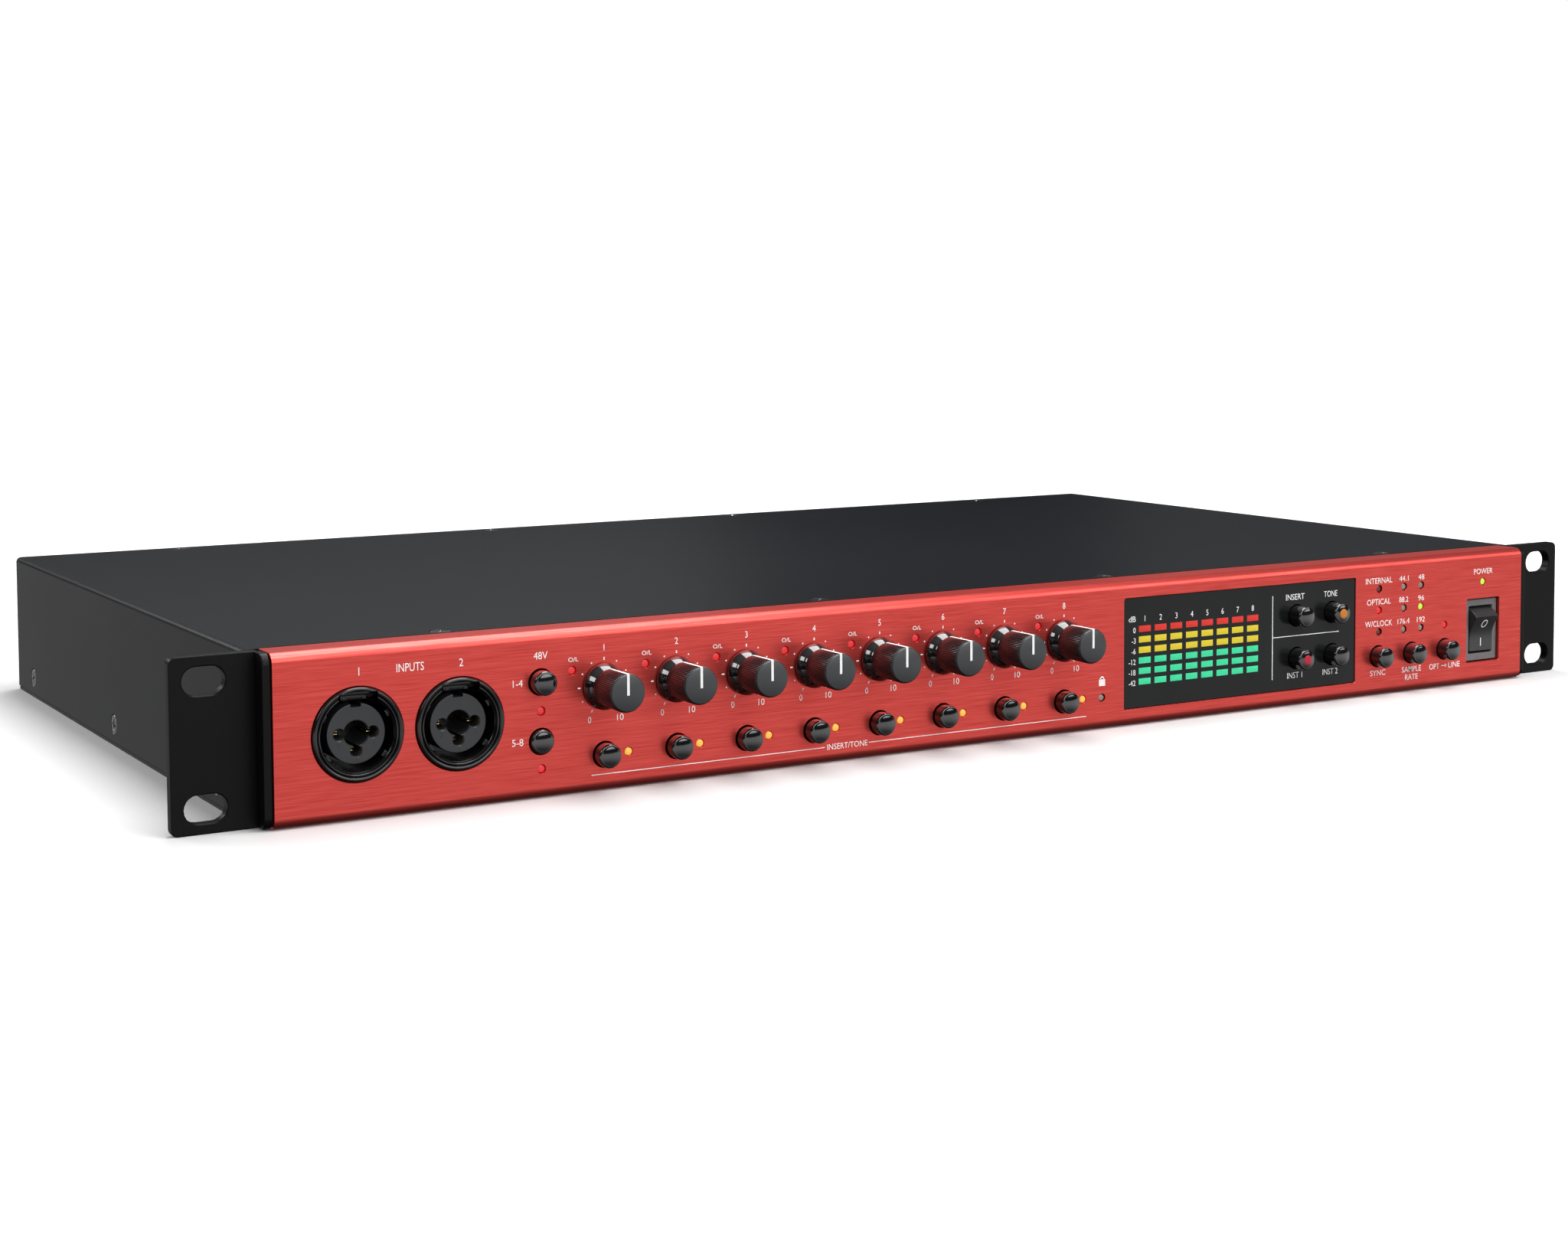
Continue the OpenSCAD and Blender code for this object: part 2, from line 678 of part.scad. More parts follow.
module board_standoffs() {
    color([0.75, 0.75, 0.77]) {
        for (x = [-206, -110, 0, 88], y = [50, 130, 208]) translate([x, y, sheet])
            cylinder(h = 4.8, r = 2.6, $fn = small);
        for (x = [110, 200], y = [66, 200]) translate([x, y, sheet])
            cylinder(h = 4.8, r = 2.6, $fn = small);
    }
}

// Bezel and body of the rocker switch, with the bores for the rocker's pivots
module rocker_housing() {
    color([0.14, 0.14, 0.15]) on_front([rocker_x, rocker_z]) difference() {
        union() {
            plate(rocker_opening_w - 0.3, rocker_opening_h - 0.7, -bezel_depth - bezel_t, -bezel_depth);
            plate(rocker_body_w, rocker_body_h, -rocker_body_depth, -bezel_depth - bezel_t);
        }
        plate(rocker_well_w, rocker_well_h, -12.4, cut);
        translate([-rocker_body_w / 2 + 0.2, 0, -rocker_pivot_depth]) rotate([0, 90, 0])
            cylinder(h = rocker_body_w - 0.4, r = pivot_bore_r, $fn = 48);
    }
}

// Rocker in its switched-on position: a dished face and round ends about the pivot
module power_rocker() {
    half = rocker_throw / 2;
    valley = rocker_face / cos(half);
    far = 12;
    color([0.14, 0.14, 0.15]) on_front([rocker_x, rocker_z]) translate([0, 0, -rocker_pivot_depth])
        rotate([half, 0, 0]) {
            difference() {
                translate([-rocker_w / 2, 0, 0]) rotate([0, 90, 0])
                    cylinder(h = rocker_w, r = rocker_end_r, $fn = fine);
                translate([-rocker_w, 0, 0]) rotate([90, 0, 90]) linear_extrude(2 * rocker_w)
                    polygon([[0, valley], [far, valley + far * tan(half)], [far, 2 * far],
                             [-far, 2 * far], [-far, valley + far * tan(half)]]);
                plate(2 * rocker_w, 4 * far, -2 * far, -2.8);
            }
            translate([-rocker_body_w / 2 + 0.3, 0, 0]) rotate([0, 90, 0])
                cylinder(h = rocker_body_w - 0.6, r = pivot_r, $fn = 48);
        }
}

// Three-pole mains inlet with its screwed flange
module mains_inlet() {
    cavity = [[-12.3, -8.2], [12.3, -8.2], [12.3, 3.2], [7.3, 8.2], [-7.3, 8.2], [-12.3, 3.2]];
    cavity_d = 16;
    flange_t = 2;
    color([0.05, 0.05, 0.055]) on_rear(inlet) difference() {
        union() {
            plate(31, 22.4, 0, flange_t);
            plate(inlet_screw_span + 9.6, 9.6, 0, flange_t);
            plate(29, 22.4, 0, flange_t + 1.2);
            plate(27, 19.6, -inlet_depth, 0);
        }
        translate([0, 0, flange_t + 1.2 - cavity_d]) linear_extrude(cavity_d + cut) polygon(cavity);
        for (side = [-1, 1]) translate([side * inlet_screw_span / 2, 0, 0]) rod(1.6, -1, 5);
    }
}

module inlet_pins() {
    root = -12.8;
    tip = -1.6;
    color([0.75, 0.72, 0.6]) on_rear(inlet) {
        for (side = [-1, 1]) translate([side * 7, -2, 0]) plate(2, 4, root, tip);
        translate([0, 2, 0]) plate(2, 4, root, tip + 1);
    }
}

module dsub_shells() {
    shell = 0.5;
    stand = 5.8;
    color([0.72, 0.72, 0.74]) for (s = dsub_spots) on_rear(s) difference() {
        union() {
            difference() {
                plate(53, 12.5, 0, 1);
                for (side = [-1, 1]) translate([side * dsub_post_span / 2, 0, 0]) rod(1.6, -cut, 2);
            }
            translate([0, 0, -8]) linear_extrude(8 + stand) dsub_outline(0);
        }
        translate([0, 0, -8 - cut]) linear_extrude(8 + stand + 2 * cut) dsub_outline(-shell);
    }
}

// Insulators of the multi-way sockets: 25 contact holes in two rows
module dsub_inserts() {
    pitch = 2.76;
    color([0.06, 0.06, 0.065]) for (s = dsub_spots) on_rear(s) difference() {
        translate([0, 0, -8]) linear_extrude(8 + 5.4) dsub_outline(-0.55);
        for (row = [0, 1], i = [0:12 - row])
            translate([(i - 6 + row / 2) * pitch, 1.42 - row * 2.84, 0]) rod(0.55, 2, 6, 16);
    }
}

module optical_port() {
    difference() {
        plate(9.6, 9.6, -12, 1.2);
        plate(7, 7, -6, 2);
    }
    rod(1.1, -6, -4.5);
}

module clock_socket() {
    rod(6.4, 0, 2, 6);
    difference() {
        rod(4.8, -10, bnc_stand, 48);
        rod(4.05, 3, bnc_stand + cut, 48);
    }
    rod(1.9, 3, bnc_stand - 1.2);
    for (side = [-1, 1]) translate([side * 5, 0, bnc_stand - 4.6]) rotate([0, 90, 0])
        cylinder(h = 1.4, r = 1, center = true, $fn = small);
}

module network_port() {
    difference() {
        plate(16, 13.2, -21, 0.4);
        translate([0, 0.6, 0]) plate(11.8, 7.4, -15, 2);
        translate([0, -4.2, 0]) plate(6.2, 3, -15, 2);
    }
}

module bus_port() {
    difference() {
        plate(9, 3.3, -10, 0.6);
        plate(8.3, 2.6, -7, 2);
    }
    plate(6.7, 0.7, -7, -0.2);
}

module optical_ports() {
    color([0.08, 0.08, 0.09]) for (s = optical_spots) on_rear(s) optical_port();
}

module clock_sockets() {
    color([0.75, 0.75, 0.77]) for (s = bnc_spots) on_rear(s) clock_socket();
}

// Network sockets and computer bus sockets
module data_ports() {
    color([0.6, 0.6, 0.62]) {
        for (s = network_spots) on_rear(s) network_port();
        for (s = bus_spots) on_rear(s) bus_port();
    }
}

// Puts the middle of the whole depth over the origin
module place() {
    translate([0, -centre_y, 0]) children();
}

place() front_panel();
place() rack_ear_left();
place() rack_ear_right();
place() base_tray();
place() top_cover();
place() rear_panel();
place() case_screws();
place() jack_posts();
place() socket_housings();
place() socket_insulators();
place() socket_contacts();
place() meter_window();
place() meter_bars_red();
place() meter_bars_yellow();
place() meter_bars_green();
place() red_leds();
place() amber_leds();
place() green_leds();
place() unlit_leds();
place() rocker_housing();
place() power_rocker();
for (i = [1:channels]) {
    place() gain_knob(i);
    place() push_button(insert_spots[i - 1], channel_button_stand);
}
place() phantom_button(0, 0);  // phantom_button_1_4
place() phantom_button(1, latch_depth);  // phantom_button_5_8
place() push_button(window_spots[0], window_button_stand);  // insert_select_button
place() push_button(window_spots[1], window_button_stand);  // tone_button
place() push_button(window_spots[2], window_button_stand);  // instrument_button_1
place() push_button(window_spots[3], window_button_stand);  // instrument_button_2
place() push_button(clock_spots[0], clock_button_stand);  // sync_button
place() push_button(clock_spots[1], clock_button_stand);  // sample_rate_button
place() push_button(clock_spots[2], clock_button_stand);  // line_source_button
place() gain_pots();
place() push_switches();
place() control_board();
place() main_board();
place() power_board();
place() internal_wiring();
place() board_standoffs();
place() mains_inlet();
place() inlet_pins();
place() dsub_shells();
place() dsub_inserts();
place() optical_ports();
place() clock_sockets();
place() data_ports();
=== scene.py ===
"""Looks of a one-unit rack audio interface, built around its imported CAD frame.

Shapes are drawn in millimetres, in the design's own frame: x to the right, y back from the front
panel's face, z up from the floor. On a panel, u runs to the right, v up and w out of the panel.
"""
import math

import bmesh
import bpy
from mathutils import Matrix, Vector

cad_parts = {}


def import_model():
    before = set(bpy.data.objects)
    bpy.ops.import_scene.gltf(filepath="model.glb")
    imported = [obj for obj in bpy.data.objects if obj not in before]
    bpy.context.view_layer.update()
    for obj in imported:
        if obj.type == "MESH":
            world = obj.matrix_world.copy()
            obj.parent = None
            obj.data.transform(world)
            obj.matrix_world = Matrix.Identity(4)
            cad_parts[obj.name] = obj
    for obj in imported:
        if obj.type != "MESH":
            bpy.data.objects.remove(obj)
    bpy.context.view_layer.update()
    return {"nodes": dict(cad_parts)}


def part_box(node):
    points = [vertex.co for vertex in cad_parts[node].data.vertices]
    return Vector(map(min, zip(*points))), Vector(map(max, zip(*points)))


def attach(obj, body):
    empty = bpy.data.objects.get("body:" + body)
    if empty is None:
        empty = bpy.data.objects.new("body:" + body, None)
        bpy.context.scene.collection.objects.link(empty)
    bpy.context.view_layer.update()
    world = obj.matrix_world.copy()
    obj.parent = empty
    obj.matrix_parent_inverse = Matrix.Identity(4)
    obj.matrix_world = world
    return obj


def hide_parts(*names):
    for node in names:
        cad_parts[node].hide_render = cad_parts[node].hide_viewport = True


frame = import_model()
nodes = frame["nodes"]

MM = 0.001
FACE_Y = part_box("front_panel")[0].y
FLUSH = 0.03                           # thickness of printed lettering


def design(corners):
    """Points of the row frame, in metres, as points of the design's frame."""
    return [(point - Vector((0, FACE_Y, 0))) / MM for point in corners]


def span(node):
    """Lowest and highest corner of a CAD node."""
    return design(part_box(node))


def middle(node):
    low, high = span(node)
    return (low + high) / 2


REAR = span("rear_panel")[1].y         # outer face of the rear panel
TOP = span("top_cover")[1].z           # top face of the cover
CHANNELS = range(1, 9)
KNOBS = [middle(f"gain_knob_{i}") for i in CHANNELS]


# ---------------------------------------------------------------- places

def on_front(x, z, out=0.0):
    """Place on the front panel: u right, v up, w out of the panel."""
    return Matrix(((1, 0, 0, x), (0, 0, -1, -out), (0, 1, 0, z), (0, 0, 0, 1)))


def on_rear(x, z, out=0.0):
    """Place on the rear panel, as seen from behind."""
    return Matrix(((-1, 0, 0, x), (0, 0, 1, REAR + out), (0, 1, 0, z), (0, 0, 0, 1)))


def on_top(x, y):
    return Matrix.Translation((x, y, TOP))


def on_floor(x, y):
    """Place on the underside, w pointing down out of it."""
    return Matrix.Translation((x, y, span("base_tray")[0].z)) @ Matrix.Rotation(math.pi, 4, "X")


def on_side(side, y, z):
    """Place on the cover's left (-1) or right (1) wall, w out of the wall."""
    turn = Matrix.Rotation(side * math.pi / 2, 4, "Y")
    return Matrix.Translation((side * span("top_cover")[1].x, y, z)) @ turn


IN_PLACE = Matrix.Identity(4)
IN_FRONT = on_front(0, 0)


def world(place):
    """The same place in the row frame, in metres."""
    moved_place = place.copy()
    moved_place.translation = place.translation * MM + Vector((0, FACE_Y, 0))
    return moved_place


# ---------------------------------------------------------------- shapes

def ring(radius, w, count, squash=1.0):
    """Points of a circle about w, narrowed along u."""
    turns = [2 * math.pi * i / count for i in range(count)]
    return [(radius * squash * math.cos(a), radius * math.sin(a), w) for a in turns]


def circle(radius, count=48):
    """Outline that grows: circle(r)(grow) gives its points."""
    return lambda grow=0.0: [(u, v) for u, v, _ in ring(radius + grow, 0, count)]


def rounded(corners, radius, steps=5):
    """Outline of a counter-clockwise polygon with rounded corners."""
    def points(grow=0.0):
        out = []
        count = len(corners)
        for i in range(count):
            a, b, c = (Vector(corners[(i + k) % count]) for k in (-1, 0, 1))
            into, away = (b - a).normalized(), (c - b).normalized()
            turn = math.atan2(into.x * away.y - into.y * away.x, into.dot(away))
            side = 1 if turn > 0 else -1
            r = max(radius + side * grow, 0.01)
            reach = radius * math.tan(abs(turn) / 2)
            normal = Vector((-into.y, into.x)) * side
            centre = b - into * reach + normal * radius
            start = math.atan2(-normal.y, -normal.x)
            for k in range(steps + 1):
                angle = start + turn * k / steps
                out.append((centre.x + r * math.cos(angle), centre.y + r * math.sin(angle)))
        return out
    return points


def rectangle(width, height, radius=0.4, at=(0, 0)):
    u, v = at
    w, h = width / 2, height / 2
    return rounded([(u - w, v - h), (u + w, v - h), (u + w, v + h), (u - w, v + h)], radius)


def arc(centre, radius, start, end, steps=6):
    """Points of an arc, angles in degrees."""
    angles = [math.radians(start + (end - start) * k / steps) for k in range(steps + 1)]
    return [(centre[0] + radius * math.cos(a), centre[1] + radius * math.sin(a)) for a in angles]


def bridge(bm, low, high):
    """Skin between two rings of vertices; a ring of one vertex is a tip."""
    count = max(len(low), len(high))
    for i in range(count):
        j = (i + 1) % count
        face = [low[i % len(low)], low[j % len(low)], high[j % len(high)], high[i % len(high)]]
        face = list(dict.fromkeys(face))
        if len(face) > 2:
            bm.faces.new(face)


def loft(rings, closed=False):
    """Solid through rings of 3-D points with equal counts; its ends are capped unless it is closed."""
    bm = bmesh.new()
    made = [[bm.verts.new(p) for p in points] for points in rings]
    for low, high in zip(made, made[1:]):
        bridge(bm, low, high)
    if closed:
        bridge(bm, made[-1], made[0])
    else:
        for end in (made[0], made[-1]):
            if len(end) > 2:
                bm.faces.new(end)
    bmesh.ops.recalc_face_normals(bm, faces=bm.faces)
    return bm


def lathe(profile, count=64, closed=False):
    """Solid of revolution about w; the profile is a list of (radius, w)."""
    return loft([ring(r, w, count) if r > 1e-6 else [(0, 0, w)] for r, w in profile], closed)


def stacked(outline, levels, closed=False):
    """Solid through an outline at levels of (growth, w)."""
    return loft([[(u, v, w) for u, v in outline(grow)] for grow, w in levels], closed)


def prism(outline, low, high, edge=0.0, steps=2):
    """Straight solid on an outline between two levels, with rounded rims where edge is given."""
    levels = [(0.0, low), (0.0, high)]
    if edge:
        quarter = [math.pi / 2 * k / steps for k in range(steps + 1)]
        levels = ([(edge * (math.sin(q) - 1), low + edge * (1 - math.cos(q))) for q in quarter]
                  + [(edge * (math.cos(q) - 1), high - edge * (1 - math.sin(q))) for q in quarter])
    return stacked(outline, levels)


def block(low, high, edge=0.0, corner=None):
    """Box between two corners with rounded edges."""
    width, height = high[0] - low[0], high[1] - low[1]
    centre = ((low[0] + high[0]) / 2, (low[1] + high[1]) / 2)
    corner = corner if corner is not None else max(edge, 0.02)
    return prism(rectangle(width, height, corner, centre), low[2], high[2], edge)


def plug(outline, depth, flare):
    """Cutter for a hole that is slightly flared at its mouth, at w = 0."""
    return stacked(outline, [(0.0, -depth), (0.0, -flare), (flare, 0.0), (flare, 1.0)])


def moved(bm, place):
    bmesh.ops.transform(bm, matrix=place, verts=bm.verts)
    return bm


def shifted(bm, u, v, w=0.0):
    return moved(bm, Matrix.Translation((u, v, w)))


def joined(parts):
    """One mesh of several, which it uses up."""
    total = bmesh.new()
    for part in parts:
        mesh = bpy.data.meshes.new("part")
        part.to_mesh(mesh)
        part.free()
        total.from_mesh(mesh)
        bpy.data.meshes.remove(mesh)
    return total


def linked(name, data):
    """A new object in the scene."""
    obj = bpy.data.objects.new(name, data)
    bpy.context.scene.collection.objects.link(obj)
    return obj


def evaluated(obj):
    """An object's mesh, with its modifiers applied."""
    depsgraph = bpy.context.evaluated_depsgraph_get()
    return bpy.data.meshes.new_from_object(obj.evaluated_get(depsgraph))


def carved(solid, tools, operation="DIFFERENCE"):
    """The solid with the tools cut out of it."""
    pair = []
    for name, bm in (("solid", solid), ("tools", tools)):
        bmesh.ops.recalc_face_normals(bm, faces=bm.faces)
        mesh = bpy.data.meshes.new(name)
        bm.to_mesh(mesh)
        bm.free()
        pair.append(linked(name, mesh))
    cut = pair[0].modifiers.new("cut", "BOOLEAN")
    cut.object = pair[1]
    cut.operation = operation
    cut.solver = "EXACT"
    result = bmesh.new()
    result.from_mesh(evaluated(pair[0]))
    for obj in pair:
        bpy.data.objects.remove(obj)
    bmesh.ops.remove_doubles(result, verts=result.verts, dist=1e-4)
    return result


def extruded_x(profile, x0, x1, edge):
    """Bar along x with a (y, z) profile and softened ends."""
    levels = [(edge, x0), (0.0, x0 + edge), (0.0, x1 - edge), (edge, x1)]
    centre = Vector((sum(p[0] for p in profile), sum(p[1] for p in profile))) / len(profile)
    rings = []
    for inset, x in levels:
        rings.append([(x, y + (inset if y < centre.x else -inset) * 0.5,
                       z + (inset if z < centre.y else -inset) * 0.5) for y, z in profile])
    return loft(rings)


def text_object(text):
    curve = bpy.data.curves.new("words", "FONT")
    curve.body = text
    curve.size = 10
    return linked("words", curve)


def cap_height():
    """Height of a capital letter of the built-in font, as text_object makes it."""
    obj = text_object("H")
    bpy.context.view_layer.update()
    height = obj.dimensions.y
    bpy.data.objects.remove(obj)
    return height


CAP_HEIGHT = cap_height()
NARROW = 0.86                          # width of lettering beside the font's own


def words(text, u, v, height, width=None, align="CENTER", bold=0.0):
    """Printed lettering with the given cap height, squeezed or stretched to a width."""
    obj = text_object(text)
    obj.data.offset = bold
    obj.data.resolution_u = 3
    mesh = evaluated(obj)
    bpy.data.objects.remove(obj)
    bm = bmesh.new()
    bm.from_mesh(mesh)
    bpy.data.meshes.remove(mesh)
    bmesh.ops.remove_doubles(bm, verts=bm.verts, dist=1e-4)
    left, right = min(p.co.x for p in bm.verts), max(p.co.x for p in bm.verts)
    scale_v = height / CAP_HEIGHT
    scale_u = width / (right - left) if width else scale_v * NARROW
    anchor = {"CENTER": (right + left) / 2, "RIGHT": right}[align]
    for p in bm.verts:
        p.co = ((p.co.x - anchor) * scale_u, (p.co.y - CAP_HEIGHT / 2) * scale_v, 0)
    grown = bmesh.ops.extrude_face_region(bm, geom=bm.faces[:])
    raised = [g for g in grown["geom"] if isinstance(g, bmesh.types.BMVert)]
    bmesh.ops.translate(bm, vec=(0, 0, FLUSH), verts=raised)
    bmesh.ops.recalc_face_normals(bm, faces=bm.faces)
    return shifted(bm, u, v)


def patch(corners):
    """Printed patch."""
    return stacked(lambda grow: corners, ((0, 0), (0, FLUSH)))


def stroke(u0, v0, u1, v1, width):
    """Printed straight line."""
    along = Vector((u1 - u0, v1 - v0))
    half = Vector((-along.y, along.x)).normalized() * width / 2
    return patch([(u0 - half.x, v0 - half.y), (u1 - half.x, v1 - half.y),
                  (u1 + half.x, v1 + half.y), (u0 + half.x, v0 + half.y)])


def dot(u, v, radius):
    return shifted(prism(circle(radius, 16), 0, FLUSH), u, v)


# ---------------------------------------------------------------- pieces

def as_mesh(bm, look, smooth=30):
    """Mesh in metres with one material, smooth but for edges sharper than the angle."""
    mesh = bpy.data.meshes.new(look.name)
    bmesh.ops.scale(bm, vec=(MM,) * 3, verts=bm.verts)
    bm.to_mesh(mesh)
    bm.free()
    mesh.materials.append(look)
    mesh.shade_smooth()
    mesh.set_sharp_from_angle(angle=math.radians(smooth))
    return mesh


def show(name, mesh, finish, body="chassis", place=IN_PLACE, stands_for=(), even=False):
    """Adds a piece that rides on a body; even keeps broad flat faces flat beside rounded edges."""
    obj = linked(name, mesh)
    obj.matrix_world = world(place)
    if even:
        weigh = obj.modifiers.new("even", "WEIGHTED_NORMAL")
        weigh.keep_sharp = True
    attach(obj, body)
    if stands_for:
        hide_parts(*stands_for)


def piece(name, bm, look, finish, smooth=30, **how):
    show(name, as_mesh(bm, look, smooth), finish, **how)


def fit(prefix, parts, place, first, even=()):
    """Shows a connector's parts at a place; the first connector stands for their CAD nodes."""
    for name, (mesh, finish, node) in parts.items():
        show(f"{prefix}_{name}", mesh, finish, place=place, even=name in even,
             stands_for=[node] if node and first else ())


# ---------------------------------------------------------------- materials

def feed(tree, node, inputs):
    """Gives each input of a shader node a value, or a link from another node's output."""
    for key, value in inputs.items():
        if isinstance(value, bpy.types.NodeSocket):
            tree.links.new(value, node.inputs[key])
        else:
            node.inputs[key].default_value = value


def add(tree, kind, inputs, **settings):
    node = tree.nodes.new("ShaderNode" + kind)
    for key, value in settings.items():
        setattr(node, key, value)
    feed(tree, node, inputs)
    return node


def drive(mat, inputs):
    """Sets or links the inputs of a material's shader."""
    feed(mat.node_tree, mat.node_tree.nodes["Principled BSDF"], inputs)


def plain(name, colour, roughness, metallic=0.0, specular=0.5, coat=0.0):
    mat = bpy.data.materials.new(name)
    mat.use_nodes = True
    drive(mat, {"Base Color": (*colour, 1), "Roughness": roughness, "Metallic": metallic,
                "Specular IOR Level": specular, "Coat Weight": coat, "Coat Roughness": 0.05})
    return mat


def own_space(tree):
    """Coordinates in the piece's own space, in metres."""
    return add(tree, "TexCoord", {}).outputs["Object"]


def noise(mat, scale, detail=4.0):
    """Noise in the piece's own space, with features of 1/scale metres along each axis."""
    tree = mat.node_tree
    stretch = add(tree, "Mapping", {"Scale": scale, "Vector": own_space(tree)})
    texture = add(tree, "TexNoise", {"Scale": 1.0, "Detail": detail, "Vector": stretch.outputs["Vector"]})
    return texture.outputs["Fac"]


def remap(tree, value, low, high, start=0.3, end=0.7):
    """Spreads a value's range from start to end over low to high."""
    return add(tree, "MapRange", {"Value": value, "From Min": start, "From Max": end,
                                  "To Min": low, "To Max": high}).outputs["Result"]


def graded(tree, value, stops):
    """Colour ramp over a value; a stop is (position, colour)."""
    ramp = add(tree, "ValToRGB", {"Fac": value})
    elements = ramp.color_ramp.elements
    while len(elements) < len(stops):
        elements.new(0.5)
    for element, (position, colour) in zip(elements, stops):
        element.position = position
        element.color = (*colour, 1)
    return ramp.outputs["Color"]


def shade(mat, value, dark, light, start=0.3, end=0.7):
    """Colour between dark and light by a noise."""
    return graded(mat.node_tree, value, ((start, dark), (end, light)))


def emboss(mat, value, strength, depth):
    """Bump of the given depth in metres."""
    bump = add(mat.node_tree, "Bump", {"Strength": strength, "Distance": depth, "Height": value})
    drive(mat, {"Normal": bump.outputs["Normal"]})


def moulded(name, colour, roughness, spread=0.08, grain=1500, strength=0.15, **more):
    """Moulded plastic or enamel with a fine skin and uneven gloss."""
    mat = plain(name, colour, roughness, **more)
    patches = noise(mat, (60,) * 3, 4)
    light = [c * 1.18 + 0.002 for c in colour]
    drive(mat, {"Roughness": remap(mat.node_tree, patches, roughness - spread, roughness + spread),
                "Base Color": shade(mat, patches, colour, light)})
    emboss(mat, noise(mat, (grain,) * 3, 3), strength, 0.00005)
    return mat


def brushed(name, dark, light, roughness, metallic, along, strength):
    """Brushed metal: long fine streaks along one axis."""
    mat = plain(name, light, roughness, metallic)
    tree = mat.node_tree
    streaks = noise(mat, [90 if i == along else 5200 for i in range(3)], 5)
    bands = noise(mat, [22 if i == along else 1500 for i in range(3)], 3)
    mix = {0: streaks, 1: 0.55, 2: remap(tree, bands, 0.1, 0.35, 0.0, 1.0)}
    grain = add(tree, "Math", mix, operation="MULTIPLY_ADD").outputs["Value"]
    drive(mat, {"Base Color": shade(mat, grain, dark, light, 0.35, 0.65),
                "Roughness": remap(tree, grain, roughness + 0.06, roughness - 0.06, 0.35, 0.65)})
    emboss(mat, grain, strength, 0.00003)
    return mat


def powder(name, colour, speck, roughness, strength, specular):
    """Powder coat: an orange-peel skin with fine light specks."""
    mat = plain(name, colour, roughness, specular=specular)
    cloud = noise(mat, (9,) * 3, 3)
    drive(mat, {"Base Color": shade(mat, noise(mat, (3800,) * 3, 1), colour, speck, 0.55, 0.75),
                "Roughness": remap(mat.node_tree, cloud, roughness - 0.015, roughness + 0.015)})
    emboss(mat, noise(mat, (2300,) * 3, 2), strength, 0.00008)
    return mat


def glowing(name, colour, glow, strength):
    """Lit lens or light pipe with a slightly cloudy glow."""
    mat = plain(name, colour, 0.3, specular=0.25)
    dim = [c * 0.86 for c in glow]
    drive(mat, {"Emission Strength": strength,
                "Emission Color": shade(mat, noise(mat, (900,) * 3, 2), dim, glow)})
    return mat


def spun(name, colour, roughness, metallic=0.0, rings=9000):
    """Turned face: fine grooves about the piece's own w axis."""
    mat = plain(name, colour, roughness, metallic)
    tree = mat.node_tree
    flat = add(tree, "VectorMath", {0: own_space(tree), 1: (1, 1, 0)}, operation="MULTIPLY")
    radius = add(tree, "VectorMath", {0: flat.outputs["Vector"]}, operation="LENGTH")
    grooves = add(tree, "TexNoise", {"Scale": rings, "Detail": 2, "W": radius.outputs["Value"]},
                  noise_dimensions="1D").outputs["Fac"]
    light = [c * 1.3 + 0.004 for c in colour]
    drive(mat, {"Base Color": shade(mat, grooves, colour, light),
                "Roughness": remap(tree, grooves, roughness - 0.07, roughness + 0.07)})
    emboss(mat, grooves, 0.12, 0.00003)
    return mat


RED = brushed("red_anodised", (0.55, 0.045, 0.038), (0.82, 0.105, 0.090), 0.34, 0.85, 0, 0.16)
EAR = powder("ear_enamel", (0.0040, 0.0040, 0.0045), (0.008, 0.008, 0.009), 0.38, 0.12, 0.12)
CASE = powder("case_powder", (0.0030, 0.0036, 0.0050), (0.015, 0.019, 0.027), 0.36, 0.20, 0.16)
GLOSS = moulded("gloss_black", (0.006, 0.006, 0.007), 0.10, 0.03, strength=0.02, specular=0.6, coat=0.9)
GRIP = moulded("grip_black", (0.009, 0.009, 0.010), 0.32, 0.05, strength=0.08)
DISC = spun("disc_black", (0.030, 0.031, 0.033), 0.38)
PRINT = moulded("white_print", (0.84, 0.83, 0.82), 0.45, 0.05, 2600, 0.05)
WINDOW = moulded("window_smoke", (0.006, 0.0065, 0.007), 0.20, 0.03, 500, 0.02, specular=0.22)
SOCKET = moulded("socket_black", (0.004, 0.004, 0.0045), 0.17, 0.04, strength=0.03)
INSULATOR = moulded("insulator_grey", (0.022, 0.023, 0.025), 0.36, 0.05, strength=0.12)
INSULATOR_BLACK = moulded("insulator_black", (0.012, 0.012, 0.013), 0.38, 0.07, strength=0.12)
MARK = moulded("mark_dark", (0.012, 0.012, 0.013), 0.5, 0.05)
GOLD = brushed("gold_contact", (0.75, 0.50, 0.16), (0.95, 0.70, 0.28), 0.18, 1.0, 2, 0.05)
NICKEL = brushed("nickel_plate", (0.55, 0.54, 0.52), (0.72, 0.71, 0.69), 0.22, 1.0, 0, 0.08)
SCREW = spun("screw_black_zinc", (0.16, 0.16, 0.165), 0.26, 1.0, 5200)
BEZEL = moulded("bezel_grey", (0.125, 0.122, 0.124), 0.34, 0.06, strength=0.15)
ROCKER_BLACK = moulded("rocker_black", (0.026, 0.026, 0.028), 0.26, 0.05, strength=0.12)
BOARD = moulded("solder_resist", (0.012, 0.085, 0.035), 0.30, 0.06)
SLEEVE = moulded("wire_sleeve", (0.25, 0.25, 0.27), 0.5, 0.08)
BAR_RED = glowing("bar_red", (0.35, 0.02, 0.015), (0.74, 0.043, 0.030), 0.56)
BAR_YELLOW = glowing("bar_yellow", (0.35, 0.28, 0.015), (0.79, 0.63, 0.045), 0.56)
BAR_GREEN = glowing("bar_green", (0.02, 0.28, 0.14), (0.053, 0.68, 0.33), 0.73)
